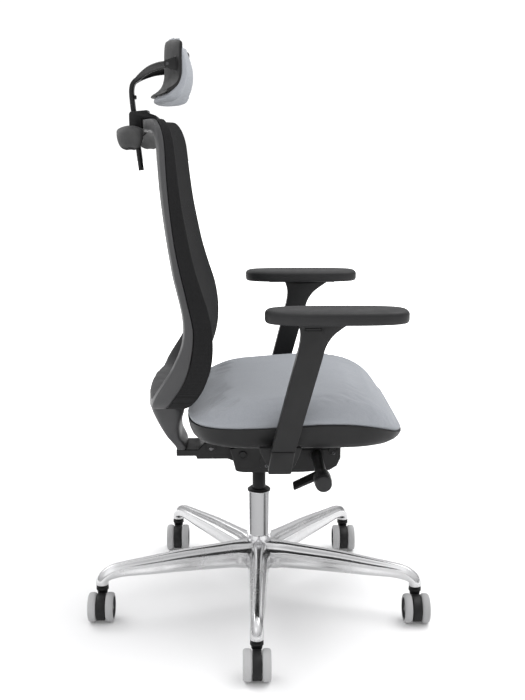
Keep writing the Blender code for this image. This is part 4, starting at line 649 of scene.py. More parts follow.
# ------------------------------------------------------------------ gas lift
def make_lift():
    top = local_box("lift_tube")[1].z
    r = TUBE_R
    foot = HUB_TOP_Z
    profile = from_edge(r, top, ((-0.0024, 0.0), (-0.0008, 0.0), (0.0, -0.0012)))
    profile += from_edge(r, foot, (
        (0.0, 0.0110), (0.0004, 0.0104), (0.0012, 0.0098), (0.0012, 0.0012),
        (-0.0020, 0.0008), (-0.0030, -0.0100), (-0.0050, -0.0100)))
    column = turned("lift_tube_skin", profile, 96, CHROME, closed=True)
    set_down(column, "base", "chrome", "lift_tube")
    inner = 0.0144
    flange = top + GAP
    profile = from_edge(inner, flange, ((0.0, 0.0040), (0.0012, 0.0050)))
    profile += from_edge(r, flange, (
        (-0.0046, 0.0050), (-0.0034, 0.0042), (-0.0030, 0.0026), (-0.0022, 0.0024),
        (-0.0006, 0.0018), (-0.0004, 0.0006), (-0.0010, 0.0), (-0.0030, 0.0)))
    profile += [(r - 0.0030, top - 0.0200), (inner, top - 0.0200)]
    bush = turned("bush_ring", profile, 96, BLACK, closed=True)
    set_down(bush, "base", "black", "lift_bush")
    low, high = local_box("lift_cylinder")
    r = 0.0140
    profile = [(0.0, low.z), (r - 0.0006, low.z), (r, low.z + 0.0006), (r, high.z - 0.0420),
               (r - 0.0004, high.z - 0.0415), (0.0128, high.z), (0.0, high.z)]
    rod = turned("gas_cylinder", profile, 72, BLACK)
    set_down(rod, "mechanism", "black", "lift_cylinder")


# ------------------------------------------------------------------ mechanism
CONTROL_AXIS = tuple(JOINTS["height_lever_lift"]["pos_m"][1:])
BACK_PIVOT = tuple(JOINTS["back_recline"]["pos_m"][1:])
SEAT_PIVOT = tuple(JOINTS["seat_tilt"]["pos_m"][1:])


def make_mechanism():
    low, high = local_box("mechanism_housing")
    half = high.x
    front, rear, bottom, top = low.y, high.y, low.z, high.z
    for side, label in ((-1, "right"), (1, "left")):
        outline = [(front + 0.0060, top - 0.0060)] + from_edge(front, bottom, (
            (0.0060, 0.0330), (0.0120, 0.0180), (0.0240, 0.0100), (0.0800, 0.0060)))
        outline += from_edge(rear, bottom, ((-0.0700, 0.0060), (-0.0620, 0.0140)))
        outline += from_edge(rear, top, ((-0.0620, -0.0300), (-0.0700, -0.0080)))
        outline.append((front + 0.0700, top - 0.0060))
        panel = plate("side_cover_" + label, outline, 0.0024, BLACK, side * (half + 0.0006),
                      0.0009, 3)
        set_down(panel, "mechanism", "black")
        for mark, (y, z), radius in (("seat", SEAT_PIVOT, 0.0085), ("back", BACK_PIVOT, 0.0090),
                                     ("lever", CONTROL_AXIS, 0.0150)):
            x = side * half
            lip = side * 0.0030
            profile = [(radius, x - lip), (radius, x + lip * 0.6), (radius - 0.0010, x + lip),
                       (radius - 0.0030, x + lip), (radius - 0.0036, x + lip * 0.5),
                       (0.0, x + lip * 0.5)]
            ring = turned("boss_%s_%s" % (mark, label), profile, 40, BLACK, (0.0, y, z), "X")
            set_down(ring, "mechanism", "black")
        for index, (y, z) in enumerate(((front + 0.0150, top - 0.0140),
                                        (rear - 0.0760, bottom + 0.0150))):
            x = side * (half + 0.0018)
            profile = [(0.0, x - side * 0.0010), (0.0036, x - side * 0.0010),
                       (0.0036, x + side * 0.0006), (0.0028, x + side * 0.0012),
                       (0.0016, x + side * 0.0012), (0.0014, x), (0.0, x)]
            screw = turned("cover_screw_%s_%d" % (label, index), profile, 24, STEEL,
                           (0.0, y, z), "X")
            set_down(screw, "mechanism", "steel")
    bm = bmesh.new()
    for k in range(5):
        x = (k - 2) * 0.0200
        add_box(bm, (0.0024, 0.0016, 0.0180), (x, front - 0.0002, top - 0.0140))
    ribs = bevelled(piece("front_ribs", bm, BLACK), 0.0005, 2)
    set_down(ribs, "mechanism", "black")
    make_knob()


FLUTES = 24.0
FLUTE_DEPTH = 0.035      # share of the grip's radius


def make_knob():
    low, high = local_box("tension_knob")
    y, z = CONTROL_AXIS
    r = (high.z - low.z) / 2.0
    bm = bmesh.new()
    profile = [(0.0, low.x)] + from_edge(r, low.x, (
        (-0.0040, 0.0), (-0.0020, 0.0008), (-0.0012, 0.0024), (-0.0008, 0.0060),
        (-0.0020, 0.0072), (-0.0020, 0.0086), (-0.0006, 0.0096), (0.0, 0.0140)))
    profile += from_edge(r, high.x, ((0.0, -0.0110), (-0.0010, -0.0080), (-0.0030, -0.0074)))
    profile += [(0.0054, high.x - 0.0070), (0.0054, high.x - 0.0200), (0.0, high.x - 0.0200)]
    paint = [1] * 5 + [0] * 9       # end cap, grip
    add_turned(bm, profile, 96, (0.0, y, z), "X", paint=paint)
    for vertex in bm.verts:
        if low.x + 0.0120 < vertex.co.x < high.x - 0.0095:
            arm = Vector((0.0, vertex.co.y - y, vertex.co.z - z))
            if arm.length > r - 0.0004:
                angle = math.atan2(arm.y, arm.z)
                arm *= 1.0 - FLUTE_DEPTH * (0.5 + 0.5 * math.cos(FLUTES * angle))
                vertex.co.y = y + arm.y
                vertex.co.z = z + arm.z
    knob = piece("tension_grip", bm, [BLACK, TRIM], 36.0)
    set_down(knob, "tension_knob", "black", "tension_knob")


# ------------------------------------------------------------------ seat
SEAT_LOW, SEAT_HIGH = local_box("seat_shell")
SEAT_HALF_X = SEAT_HIGH.x
SEAT_HALF_Y = (SEAT_HIGH.y - SEAT_LOW.y) / 2.0
SEAT_MIDDLE = (0.0, (SEAT_HIGH.y + SEAT_LOW.y) / 2.0)
SHELL_BOTTOM_Z = SEAT_LOW.z
# heights from front to rear of the seam round the seat and of the cushion's middle
SEAM = ((-0.283, 0.4120), (-0.240, 0.4340), (-0.190, 0.4470), (-0.130, 0.4510),
        (0.000, 0.4440), (0.145, 0.4390))
CROWN = ((-0.283, 0.4160), (-0.262, 0.4560), (-0.230, 0.4830), (-0.190, 0.4930),
         (-0.100, 0.4950), (0.000, 0.4890), (0.090, 0.4800), (0.145, 0.4640))
SEAT_SIDES = 128
SEAT_SQUARENESS = 4.4


def seam_z(y):
    return curve_at(SEAM, y)


def seat_ring(inset, height):
    """The seat's outline, so far inside its edge, at the height that each point's y gives."""
    ring = rounded_outline(SEAT_HALF_X - inset, SEAT_HALF_Y - inset, SEAT_SQUARENESS,
                           SEAT_SIDES, SEAT_MIDDLE)
    return [(x, y, height(y)) for x, y in ring]


def make_seat():
    low = SHELL_BOTTOM_Z
    wall = 0.0030
    outer = ((0.0800, 0.0), (0.0440, 0.0), (0.0360, 0.012), (0.0230, 0.06), (0.0140, 0.15),
             (0.0070, 0.33), (0.0030, 0.55), (0.0010, 0.78), (0.0, 0.93), (0.0002, 0.985),
             (0.0012, 1.0), (0.0024, 1.0))
    rings = [seat_ring(inset, lambda y, s=share: low + s * (seam_z(y) - low))
             for inset, share in outer]
    inner = ((0.0030, 0.97), (0.0060, 0.55), (0.0100, 0.33), (0.0190, 0.15), (0.0390, 0.05),
             (0.0800, 0.04))
    rings += [seat_ring(inset + wall, lambda y, s=share: low + wall + s * (seam_z(y) - low - wall))
              for inset, share in inner]
    shell = loft("seat_tray", rings, DARK, smooth=50.0)
    set_down(shell, "seat", "dark", "seat_shell")

    def crown(inset, share):
        return [(x, y, seam_z(y) + share * (curve_at(CROWN, y) - seam_z(y)))
                for x, y, _ in seat_ring(inset, seam_z)]

    base = local_box("seat_pan")[1].z + 0.0003
    rings = [seat_ring(0.0600, lambda y: base),
             seat_ring(0.0300, lambda y: max(base, seam_z(y) - 0.0150)),
             seat_ring(0.0075, lambda y: seam_z(y) - 0.0050), seat_ring(0.0030, seam_z)]
    rings += [crown(inset, share) for inset, share in (
        (0.0010, 0.12), (-0.0006, 0.27), (0.0004, 0.46), (0.0046, 0.64), (0.0110, 0.77),
        (0.0200, 0.865), (0.0330, 0.925), (0.0550, 0.960), (0.0900, 0.975), (0.1300, 0.985))]
    cushion = loft("seat_pad", rings, FABRIC)
    puffed(cushion, 0.0055, PRESSURE, 0.0050, lambda co: co.z < seam_z(co.y) + 0.0080)
    normals = [vertex.normal.copy() for vertex in cushion.data.vertices]
    for vertex, normal in zip(cushion.data.vertices, normals):
        co = vertex.co - COLUMN
        if co.z > seam_z(co.y) + 0.0120:
            # a soft hollow along each side, which fades towards the front and the rear
            spread = 1.0 - side_share(co.x, co.y)
            along = math.exp(-((co.y + 0.075) / 0.110) ** 4)
            depth = 0.0015 * along * math.exp(-((spread - 0.155) / 0.0260) ** 2)
            sag = 0.0008 * noise.noise(co * 22.0)
            vertex.co += normal * (sag - depth)
    cushion.data.shade_smooth()
    set_down(cushion, "seat", "fabric", "seat_cushion")


def side_share(x, y):
    """0 in the seat's middle and 1 at its outline."""
    return ((abs(x - SEAT_MIDDLE[0]) / SEAT_HALF_X) ** SEAT_SQUARENESS
            + (abs(y - SEAT_MIDDLE[1]) / SEAT_HALF_Y) ** SEAT_SQUARENESS
            ) ** (1.0 / SEAT_SQUARENESS)


# ------------------------------------------------------------------ armrests
POST_LEAN = math.atan2(-JOINTS["arm_height_left"]["axis"][1],
                       JOINTS["arm_height_left"]["axis"][2])
POST_SEAM_Z = 0.4125
POST_HEAD_Z = 0.6530
POST_THICKNESS = 0.0280
ARM_X = 0.2720
FOOT_LOW_Z = 0.3690
STEM_Y = -0.0405
STEM_HALF = 0.0130
STEM_TOP_Z = 0.5600
BRACKET_INNER_X = 0.0790


def lean(y, z):
    """A point of the upright post once it leans with the armrest's travel."""
    return (y - (z - POST_SEAM_Z) * math.tan(POST_LEAN), z)


def make_arm(side, label):
    seam, top = POST_SEAM_Z, POST_HEAD_Z
    body = "arm_" + label
    rear = spline_rows((lean(-0.0190, seam + 0.1920), (-0.0705, top - 0.0280),
                        (-0.0690, top - 0.0150), (-0.0640, top)), 4)
    front = spline_rows(((-0.1630, top), (-0.1430, top - 0.0135), (-0.1275, top - 0.0270),
                         (-0.1160, top - 0.0460), (-0.1095, top - 0.0690)), 5)
    outline = [(-0.0190, seam)] + rear + front + [(-0.0620, seam)]
    sleeve = settle(plate("arm_post_" + label, outline, POST_THICKNESS, DARK, side * ARM_X,
                          0.0042, 5))
    low, high = local_box("arm_button_" + label)
    middle = (low + high) / 2.0
    size = high - low
    hole = (2.0 * (size.x + 0.0040), size.y + 0.0012, size.z + 0.0012)
    place = (side * (ARM_X + POST_THICKNESS / 2.0), middle.y, middle.z)
    combine(sleeve, block("cutter", hole, place, DARK, 0.0), "DIFFERENCE")
    set_down(crisp(sleeve, 38.0), body, "dark", "arm_sleeve_" + label)
    button = block("height_button_" + label, tuple(size), tuple(middle), BLACK, 0.0010)
    set_down(button, "button_" + label, "black", "arm_button_" + label)

    foot_z = FOOT_LOW_Z
    outline = [(-0.0620, seam - GAP), (-0.0190, seam - GAP), lean(-0.0230, foot_z),
               lean(-0.0660, foot_z)]
    foot = settle(plate("post_foot_" + label, outline, POST_THICKNESS, DARK, side * ARM_X,
                        0.0035))
    outline = [(0.0030, seam - GAP), (-0.0750, seam - GAP), (-0.0700, seam - 0.0180),
               (-0.0620, foot_z + 0.0080), (-0.0560, foot_z + 0.0020),
               (-0.0180, foot_z + 0.0020), (-0.0100, foot_z + 0.0120),
               (-0.0030, seam - 0.0180), (0.0020, seam - 0.0080)]
    elbow_x = ARM_X - POST_THICKNESS / 2.0 - 0.0025
    combine(foot, plate("elbow", outline, 0.0140, DARK, side * elbow_x, 0.0015, 3))
    outer_x = ARM_X - POST_THICKNESS / 2.0 + 0.0040
    bar = block("bar", (outer_x - BRACKET_INNER_X, 0.0500, 0.0100),
                (side * (BRACKET_INNER_X + outer_x) / 2.0, -0.0370,
                 SHELL_BOTTOM_Z - GAP - 0.0050), DARK, 0.0016)
    combine(foot, bar)
    stem = [lean(STEM_Y + out, z)
            for out, z in ((-STEM_HALF, seam - 0.0200), (STEM_HALF, seam - 0.0200),
                           (STEM_HALF, STEM_TOP_Z), (-STEM_HALF, STEM_TOP_Z))]
    combine(foot, plate("inner", stem, 0.0120, DARK, side * ARM_X, 0.0010, 2))
    set_down(crisp(foot, 36.0), "seat", "dark", "arm_bracket_" + label)
    make_pad(side, label)


def make_pad(side, label):
    low, high = local_box("arm_pad_" + label)
    half_x, half_y = (high.x - low.x) / 2.0, (high.y - low.y) / 2.0
    middle = ((high.x + low.x) / 2.0, (high.y + low.y) / 2.0)
    bottom, top = low.z, high.z

    def ring(inset, z):
        spread = rounded_outline(half_x - inset, half_y - inset, 3.0, 96, middle)
        return [(x, y, z) for x, y in spread]

    edge = from_edge(0.0, bottom, (
        (0.0160, 0.0006), (0.0080, 0.0006), (0.0050, 0.0), (0.0030, 0.0006),
        (0.0012, 0.0022), (0.0003, 0.0045), (0.0, 0.0075)))
    edge += from_edge(0.0, top, (
        (0.0, -0.0090), (0.0006, -0.0066), (0.0022, -0.0042), (0.0048, -0.0024),
        (0.0086, -0.0012), (0.0150, -0.0004), (0.0250, 0.0), (0.0360, -0.0002)))
    rings = [ring(inset, z) for inset, z in edge]
    pad = loft("armrest_pad_" + label, rings, FOAM, pole=True, smooth=60.0)
    set_down(pad, "pad_" + label, "foam", "arm_pad_" + label)


# ------------------------------------------------------------------ back
FRAME_LOW, FRAME_HIGH = local_box("mesh_carrier")
BACK_TOP_Z = FRAME_HIGH.z
BACK_BOTTOM_Z = FRAME_LOW.z
BACK_HALF_WIDTH = 0.2280
RIM_WIDTH = 0.0220
BACK_STEPS = (12, 16, 36)
BACK_CORNER_R = 0.0560
SKIN = 0.0025
WAIST_Z = 0.6700
DISH_BOTTOM = 0.0200
DISH_TOP = 0.0450
# (height, depth) lines of the back's side: its rear, where the two frames meet, its front
REAR_LINE = ((0.450, 0.2050), (0.490, 0.1990), (0.549, 0.1640), (0.600, 0.1430),
             (0.640, 0.1405), (0.735, 0.1590), (0.880, 0.1775), (1.010, 0.1835))
SPLIT_LINE = ((0.450, 0.1800), (0.483, 0.1665), (0.530, 0.1410), (0.575, 0.1285),
              (0.625, 0.1245), (0.680, 0.1350), (0.771, 0.1545), (0.870, 0.1665),
              (1.010, 0.1740))
FRONT_LINE = ((0.450, 0.1440), (0.482, 0.1220), (0.518, 0.1035), (0.560, 0.0905),
              (0.610, 0.0878), (0.660, 0.0950), (0.705, 0.1090), (0.750, 0.1220),
              (0.800, 0.1325), (0.850, 0.1415), (0.930, 0.1510), (1.010, 0.1590))


def back_half_width(z):
    above = max(z - WAIST_Z, 0.0) / (BACK_TOP_Z - WAIST_Z)
    below = max(WAIST_Z - z, 0.0) / (WAIST_Z - BACK_BOTTOM_Z)
    return BACK_HALF_WIDTH * (1.0 - 0.10 * above**1.5 - 0.14 * below**2)


def dish(x, z):
    """How far the back stands behind its own sides at x."""
    height = min(max((z - BACK_BOTTOM_Z) / (BACK_TOP_Z - BACK_BOTTOM_Z), 0.0), 1.0)
    depth = DISH_BOTTOM + (DISH_TOP - DISH_BOTTOM) * height
    return depth * (1.0 - min(abs(x) / back_half_width(z), 1.0) ** 2)


def back_loop(inset):
    middle = (BACK_TOP_Z + BACK_BOTTOM_Z) / 2.0
    half_x = BACK_HALF_WIDTH - inset
    half_z = (BACK_TOP_Z - BACK_BOTTOM_Z) / 2.0 - inset
    radius = max(BACK_CORNER_R - inset, 0.0100)
    loop = []
    for x, z in rounded_rectangle(half_x, half_z, radius, BACK_STEPS):
        z += middle
        loop.append((x * (back_half_width(z) - inset) / half_x, z))
    return loop


def rim_rings(outline):
    """Rings round the back: outline rows are (inset, rear line, front line, share, offset)."""
    loops = {row[0]: back_loop(row[0]) for row in outline}
    rings = []
    for i in range(len(loops[outline[0][0]])):
        ring = []
        for inset, rear, front, share, offset in outline:
            x, z = loops[inset][i]
            y = (1.0 - share) * curve_at(rear, z) + share * curve_at(front, z)
            ring.append((x, y + dish(x, z) + offset, z))
        rings.append(ring)
    return rings


def make_back():
    w = RIM_WIDTH
    rows = [(0.0030, 0.0), (0.0010, 0.05), (0.0, 0.16), (0.0, 0.80), (0.0008, 0.93),
            (0.0030, 1.0), (w - 0.0020, 1.0), (w, 0.93), (w, 0.16), (w - 0.0010, 0.05),
            (w - 0.0030, 0.0)]
    rings = rim_rings([(inset, REAR_LINE, SPLIT_LINE, share, 0.0) for inset, share in rows])
    rear = loft("back_rear_frame", rings, FRAME, closed=True, smooth=50.0)
    combine(rear, make_leg())
    set_down(crisp(rear, 36.0), "back", "frame", "back_frame")

    skin = 0.0012
    rows = [(skin + 0.0014, 0.0), (skin, 0.06), (skin, 0.92), (skin + 0.0030, 1.0),
            (w - 0.0030, 1.0), (w, 0.93), (w, 0.06), (w - 0.0014, 0.0)]
    rings = rim_rings([(inset, SPLIT_LINE, FRONT_LINE, share,
                        -0.0006 + share * (SKIN + 0.0012)) for inset, share in rows])
    carrier = loft("mesh_frame", rings, BLACK, closed=True, smooth=50.0)
    set_down(carrier, "back", "dark", "mesh_carrier")
    make_net(skin)


def make_net(skin):
    """The net: wrapped over the frame's edge and stretched across its front."""
    insets = (0.0, 0.0, 0.0, 0.0, 0.0, 0.0004, 0.0022, 0.0050, 0.0120, RIM_WIDTH, 0.0400, 0.0620,
              0.0850, 0.1100, 0.1400, 0.1700, 0.2000, 0.2140)
    shares = (0.03, 0.2, 0.4, 0.6, 0.8, 0.93, 0.985, 1.0)
    front, rear = [], []
    for number, inset in enumerate(insets):
        share = shares[number] if number < len(shares) else 1.0
        loop = back_loop(inset)
        inner_loop = back_loop(inset + (skin if number < 6 else 0.0006))
        thick = skin * (0.15 if number < 6 else 0.9)
        front.append([back_point_between(x, z, share, 0.0) for x, z in loop])
        rear.append([back_point_between(x, z, share, thick) for x, z in inner_loop])
    net = loft("back_net", rear[::-1] + front, MESH, smooth=60.0)
    set_down(net, "back", "mesh", "back_mesh")


def back_point_between(x, z, share, offset):
    y = (1.0 - share) * curve_at(SPLIT_LINE, z) + share * curve_at(FRONT_LINE, z)
    return (x, y + dish(x, z) + offset, z)


def leg_ring(z, rear, front, half_width):
    """Section of the leg: a rounded bar with a shallow groove down its back."""
    points = []
    for i in range(48):
        angle = TURN * (i + 0.5) / 48
        x = half_width * signed_power(math.cos(angle), 0.42)
        share = 0.5 + 0.5 * signed_power(math.sin(angle), 0.42)
        y = front + share * (rear - front)
        if share > 0.5:
            y -= 0.14 * (rear - front) * math.exp(-(x / (0.45 * half_width)) ** 4)
        points.append((x, y, z))
    return points


def make_leg():
    foot = local_box("back_frame")[0].z
    rows = spline_rows(((foot, 0.1720, 0.1516, 0.0480), (foot + 0.0080, 0.1760, 0.1516, 0.0500),
                        (0.3640, 0.1845, 0.1580, 0.0560), (0.3750, 0.1920, 0.1625, 0.0620),
                        (0.4000, 0.2050, 0.1620, 0.0760), (0.4280, 0.2170, 0.1540, 0.0900),
                        (0.4450, 0.2220, 0.1560, 0.0970), (0.4530, 0.2230, 0.1800, 0.0990),
                        (0.4800, 0.2210, 0.2020, 0.1000)), 4)
    return loft("leg", [leg_ring(*row) for row in rows], FRAME)


# ------------------------------------------------------------------ headrest and hanger
HEAD_PIVOT = tuple(JOINTS["headrest_tilt"]["pos_m"][1:])
POST_TILT = math.atan2(JOINTS["headrest_height"]["axis"][1], JOINTS["headrest_height"]["axis"][2])
POST_BOTTOM_Z = 0.9130
POST_BOTTOM_Y = 0.2350
POST_HALF_WIDTH = 0.0130
POST_HALF_DEPTH = 0.00475
HEAD_HALF_WIDTH = 0.1250
HEAD_DISH = 0.0360
HEAD_MIDDLE = (0.1700, 1.1000)
PRONG_X = 0.1020
EAR_X = 0.1106
EAR_THICKNESS = 0.0050
# share of the half width and how far the cushion's face is turned back there
HEAD_FACE_BACK = ((0.0, 0.0), (0.38, 0.0), (0.75, 0.0018), (0.93, 0.0085), (1.0, 0.0160))
HEAD_BACKED = (0.1670, 0.1790)
HEAD_HELD_Y = 0.1777     # behind it the cushion is held by its shell
CLAMP_LOW, CLAMP_HIGH = local_box("headrest_clamp")
CLAMP_FOOT_Z = 0.9940
CLAMP_HEAD_Z = 1.0270


def post_y(z):
    return POST_BOTTOM_Y + (z - POST_BOTTOM_Z) * math.tan(POST_TILT)


def blade_ring(y, z, slope, half_width, half_depth, x=0.0, squareness=4.5, count=28):
    ring = []
    for i in range(count):
        angle = TURN * (i + 0.5) / count
        across = half_width * signed_power(math.cos(angle), 2.0 / squareness)
        up = half_depth * signed_power(math.sin(angle), 2.0 / squareness)
        ring.append((x + across, y - up * math.cos(slope), z + up * math.sin(slope)))
    return ring


def make_headrest():
    half, thin = POST_HALF_WIDTH, POST_HALF_DEPTH
    rows = spline_rows(((post_y(POST_BOTTOM_Z), POST_BOTTOM_Z, POST_TILT, half, thin, 0.0),
                        (post_y(0.9800), 0.9800, POST_TILT, half, thin, 0.0),
                        (post_y(1.0450), 1.0450, POST_TILT, half, thin, 0.0),
                        (0.2500, 1.0720, -0.30, half, thin, 0.0),
                        (0.2440, 1.0850, -0.85, half, thin, 0.0),
                        (0.2330, 1.0920, -1.15, half, thin, 0.0)), 6)
    post = loft("headrest_stalk", [blade_ring(*row) for row in rows], DARK)
    y, z = HEAD_PIVOT
    for side in (-1, 1):
        rows = spline_rows(((0.2430, 1.0850, -0.90, 0.0066, 0.0042, side * 0.0060),
                            (0.2300, 1.0950, -1.10, 0.0070, 0.0058, side * 0.0200),
                            (0.2100, 1.1050, -1.20, 0.0068, 0.0068, side * 0.0500),
                            (0.1880, 1.1100, -1.35, 0.0062, 0.0068, side * 0.0800),
                            (y - 0.0011, z, -1.57, 0.0051, 0.0058, side * (PRONG_X + 0.0002))), 6)
        prong = loft("prong", [blade_ring(*row, squareness=2.6) for row in rows], DARK)
        combine(post, prong)
        x = side * PRONG_X
        eye = turned("eye", [(0.0, x - 0.0055), (0.0058, x - 0.0055), (0.0068, x - 0.0045),
                             (0.0068, x + 0.0045), (0.0058, x + 0.0055), (0.0, x + 0.0055)],
                     40, DARK, (0.0, y, z), "X")
        combine(post, eye)
    bump_z = 1.0550
    combine(post, block("bump", (0.0140, 0.0060, 0.0080),
                        (0.0, post_y(bump_z) - 0.0060, bump_z), DARK, 0.0015))
    set_down(crisp(post, 38.0), "head_post", "dark", "headrest_post")
    make_head_shell()
    make_head_pad()


def head_ring(points, share, shrink, front=0.0):
    """Side section of the headrest; front is how far its face is turned back there."""
    x = share * HEAD_HALF_WIDTH
    middle_y, middle_z = HEAD_MIDDLE
    ring = []
    for y, z in points:
        pull = 0.5 + 0.5 * shrink if y > middle_y else 1.0
        back = front * min(max((HEAD_BACKED[1] - y) / (HEAD_BACKED[1] - HEAD_BACKED[0]), 0.0), 1.0)
        ring.append((x, middle_y + (y - middle_y) * pull + back - head_dish(x),
                     middle_z + (z - middle_z) * shrink))
    return ring


def head_dish(x):
    return HEAD_DISH * (x / HEAD_HALF_WIDTH) ** 2


def head_stations(count, start=0.80, soft=3.2):
    """Shares across the headrest with how far each section shrinks towards the ends."""
    made = []
    for i in range(count + 1):
        share = -math.cos(math.pi * i / count)
        shrink = start + (1.0 - start) * (1.0 - abs(share) ** soft) ** (1.0 / soft)
        made.append((share, shrink))
    return made


HEAD_REAR = ((0.1790, 1.1575), (0.1830, 1.1560), (0.1850, 1.1380), (0.1851, 1.1100),
             (0.1852, 1.0900), (0.1900, 1.0740), (0.1990, 1.0640), (0.2130, 1.0560))
HEAD_FRONT = ((0.2120, 1.0515), (0.1960, 1.0590), (0.1856, 1.0710), (0.1810, 1.0890),
              (0.1810, 1.1100), (0.1810, 1.1380), (0.1788, 1.1540))


def make_head_shell():
    outline = cut_corners(HEAD_REAR + HEAD_FRONT, 0.25, 2)
    shell = loft("head_shell", [head_ring(outline, *row) for row in head_stations(40)], DARK,
                 smooth=50.0)
    y, z = HEAD_PIVOT
    for side in (-1, 1):
        root = 0.1850 - head_dish(EAR_X + EAR_THICKNESS / 2.0) - 0.0008
        outline = [(y + 0.0070, z - 0.0040), (y + 0.0070, z + 0.0040), (y + 0.0040, z + 0.0065),
                   (root, z + 0.0130), (root, z - 0.0130), (y + 0.0040, z - 0.0065)]
        combine(shell, plate("ear", outline, EAR_THICKNESS, DARK, side * EAR_X, 0.0012, 3))
    set_down(crisp(shell, 38.0), "headrest", "dark", "headrest_shell")


def make_head_pad():
    outline = ((0.1787, 1.1590), (0.1805, 1.1380), (0.1805, 1.1100), (0.1805, 1.0890),
               (0.1845, 1.0715), (0.1952, 1.0588), (0.2050, 1.0522), (0.2082, 1.0468),
               (0.2066, 1.0424), (0.1980, 1.0387), (0.1880, 1.0390), (0.1745, 1.0475),
               (0.1625, 1.0640), (0.1567, 1.0900), (0.1567, 1.1150), (0.1625, 1.1375),
               (0.1682, 1.1560), (0.1722, 1.1622), (0.1765, 1.1632))
    outline = cut_corners(outline, 0.25, 1)
    pad = loft("head_pad", [head_ring(outline, *row, curve_at(HEAD_FACE_BACK, abs(row[0])))
                            for row in head_stations(36, 0.78, 3.0)], FABRIC, pole=True)
    puffed(pad, 0.0045, PRESSURE, 0.0028, lambda co: co.y + head_dish(co.x) > HEAD_HELD_Y)
    pad.data.shade_smooth()
    set_down(pad, "headrest", "fabric", "headrest_cushion")


def make_clamp():
    rail_rear = curve_at(REAR_LINE, BACK_TOP_Z) + DISH_TOP
    rail_front = curve_at(FRONT_LINE, BACK_TOP_Z) + DISH_TOP
    low, high = CLAMP_FOOT_Z, CLAMP_HEAD_Z
    rear = CLAMP_HIGH.y
    front = rail_rear + GAP
    outline = [(rear, low), (rear, high - 0.0040), (rear - 0.0030, high),
               (rail_rear - 0.0100, high + 0.0030), (rail_front + 0.0140, high - 0.0020),
               (rail_front + 0.0020, high - 0.0060), (rail_front - 0.0060, high - 0.0120),
               (rail_front - 0.0080, BACK_TOP_Z - 0.0080),
               (rail_front - 0.0030, BACK_TOP_Z - 0.0080),
               (rail_front - 0.0015, BACK_TOP_Z + 0.0030), (front, BACK_TOP_Z + 0.0030),
               (front, low)]
    clamp = settle(plate("post_clamp", outline, CLAMP_HIGH.x - CLAMP_LOW.x, DARK, 0.0,
                         0.0016, 3))
    rings = [blade_ring(post_y(z), z, POST_TILT, POST_HALF_WIDTH + RUN, POST_HALF_DEPTH + RUN)
             for z in (low - 0.02, high + 0.02)]
    combine(clamp, loft("cutter", rings, DARK), "DIFFERENCE")
    set_down(crisp(clamp, 36.0), "back", "dark", "headrest_clamp")


HANGER_HALF_SPAN = 0.2000
HANGER_Y = 0.2480
HANGER_SWEEP = 0.0140
HANGER_THICKNESS = 0.0045
HANGER_CHORDS = ((0.0, 0.028), (0.12, 0.030), (0.35, 0.042), (0.65, 0.050), (0.90, 0.040),
                 (0.97, 0.028), (1.0, 0.016))
HANGER_ARC = ((0.0, 0.0000), (0.15, 0.0020), (0.40, 0.0140), (0.70, 0.0060), (1.0, -0.0260))


def make_hanger():
    base_z = CLAMP_FOOT_Z - 0.0090
    thick = HANGER_THICKNESS
    rings = []
    count = 60
    for i in range(count + 1):
        share = -math.cos(math.pi * i / count)
        chord = curve_at(HANGER_CHORDS, abs(share))
        z = base_z + curve_at(HANGER_ARC, abs(share))
        y = HANGER_Y - HANGER_SWEEP * share * share
        ring = []
        for k in range(24):
            angle = TURN * (k + 0.5) / 24
            across = 0.5 * chord * signed_power(math.cos(angle), 0.8)
            lift = 0.5 * thick * signed_power(math.sin(angle), 0.6)
            arch = 0.12 * chord * (2.0 * across / chord) ** 2
            ring.append((share * HANGER_HALF_SPAN, y + across,
                         z - thick / 2.0 - arch + lift))
        rings.append(ring)
    hanger = loft("hanger_wings", rings, DARK, pole=True)
    top = CLAMP_FOOT_Z - GAP
    depth = 0.0240
    middle = top - depth / 2.0
    size = (2.0 * POST_HALF_WIDTH + 0.0120, 2.0 * POST_HALF_DEPTH + 0.0120, depth)
    combine(hanger, block("collar", size, (0.0, post_y(middle), middle), DARK, 0.0025, 4))
    rings = [blade_ring(post_y(z), z, POST_TILT, POST_HALF_WIDTH + RUN, POST_HALF_DEPTH + RUN)
             for z in (middle - 0.05, middle + 0.05)]
    combine(hanger, loft("cutter", rings, DARK), "DIFFERENCE")
    set_down(crisp(hanger, 38.0), "back", "dark", "coat_hanger")


# ------------------------------------------------------------------ all the pieces
def repaint():
    """Procedural materials for the CAD solids that stay on show."""
    finishes = {"polished": POLISHED, "chrome": CHROME, "steel": STEEL, "black": BLACK,
                "dark": DARK, "frame": FRAME, "tyre": TYRE, "mesh": MESH, "fabric": FABRIC,
                "foam": FOAM}
    for row in frame["record"]["subparts"]:
        node = frame["nodes"].get(row["node"])
        if node is not None:
            for entry in node.material_slots:
                entry.material = finishes[row["material_slot"]]


repaint()
make_base()
for number, stem in enumerate(STEMS, 1):
    make_caster(number, stem)
make_lift()
make_mechanism()
make_seat()
for side, label in ((-1, "right"), (1, "left")):
    make_arm(side, label)
make_back()
make_headrest()
make_clamp()
make_hanger()


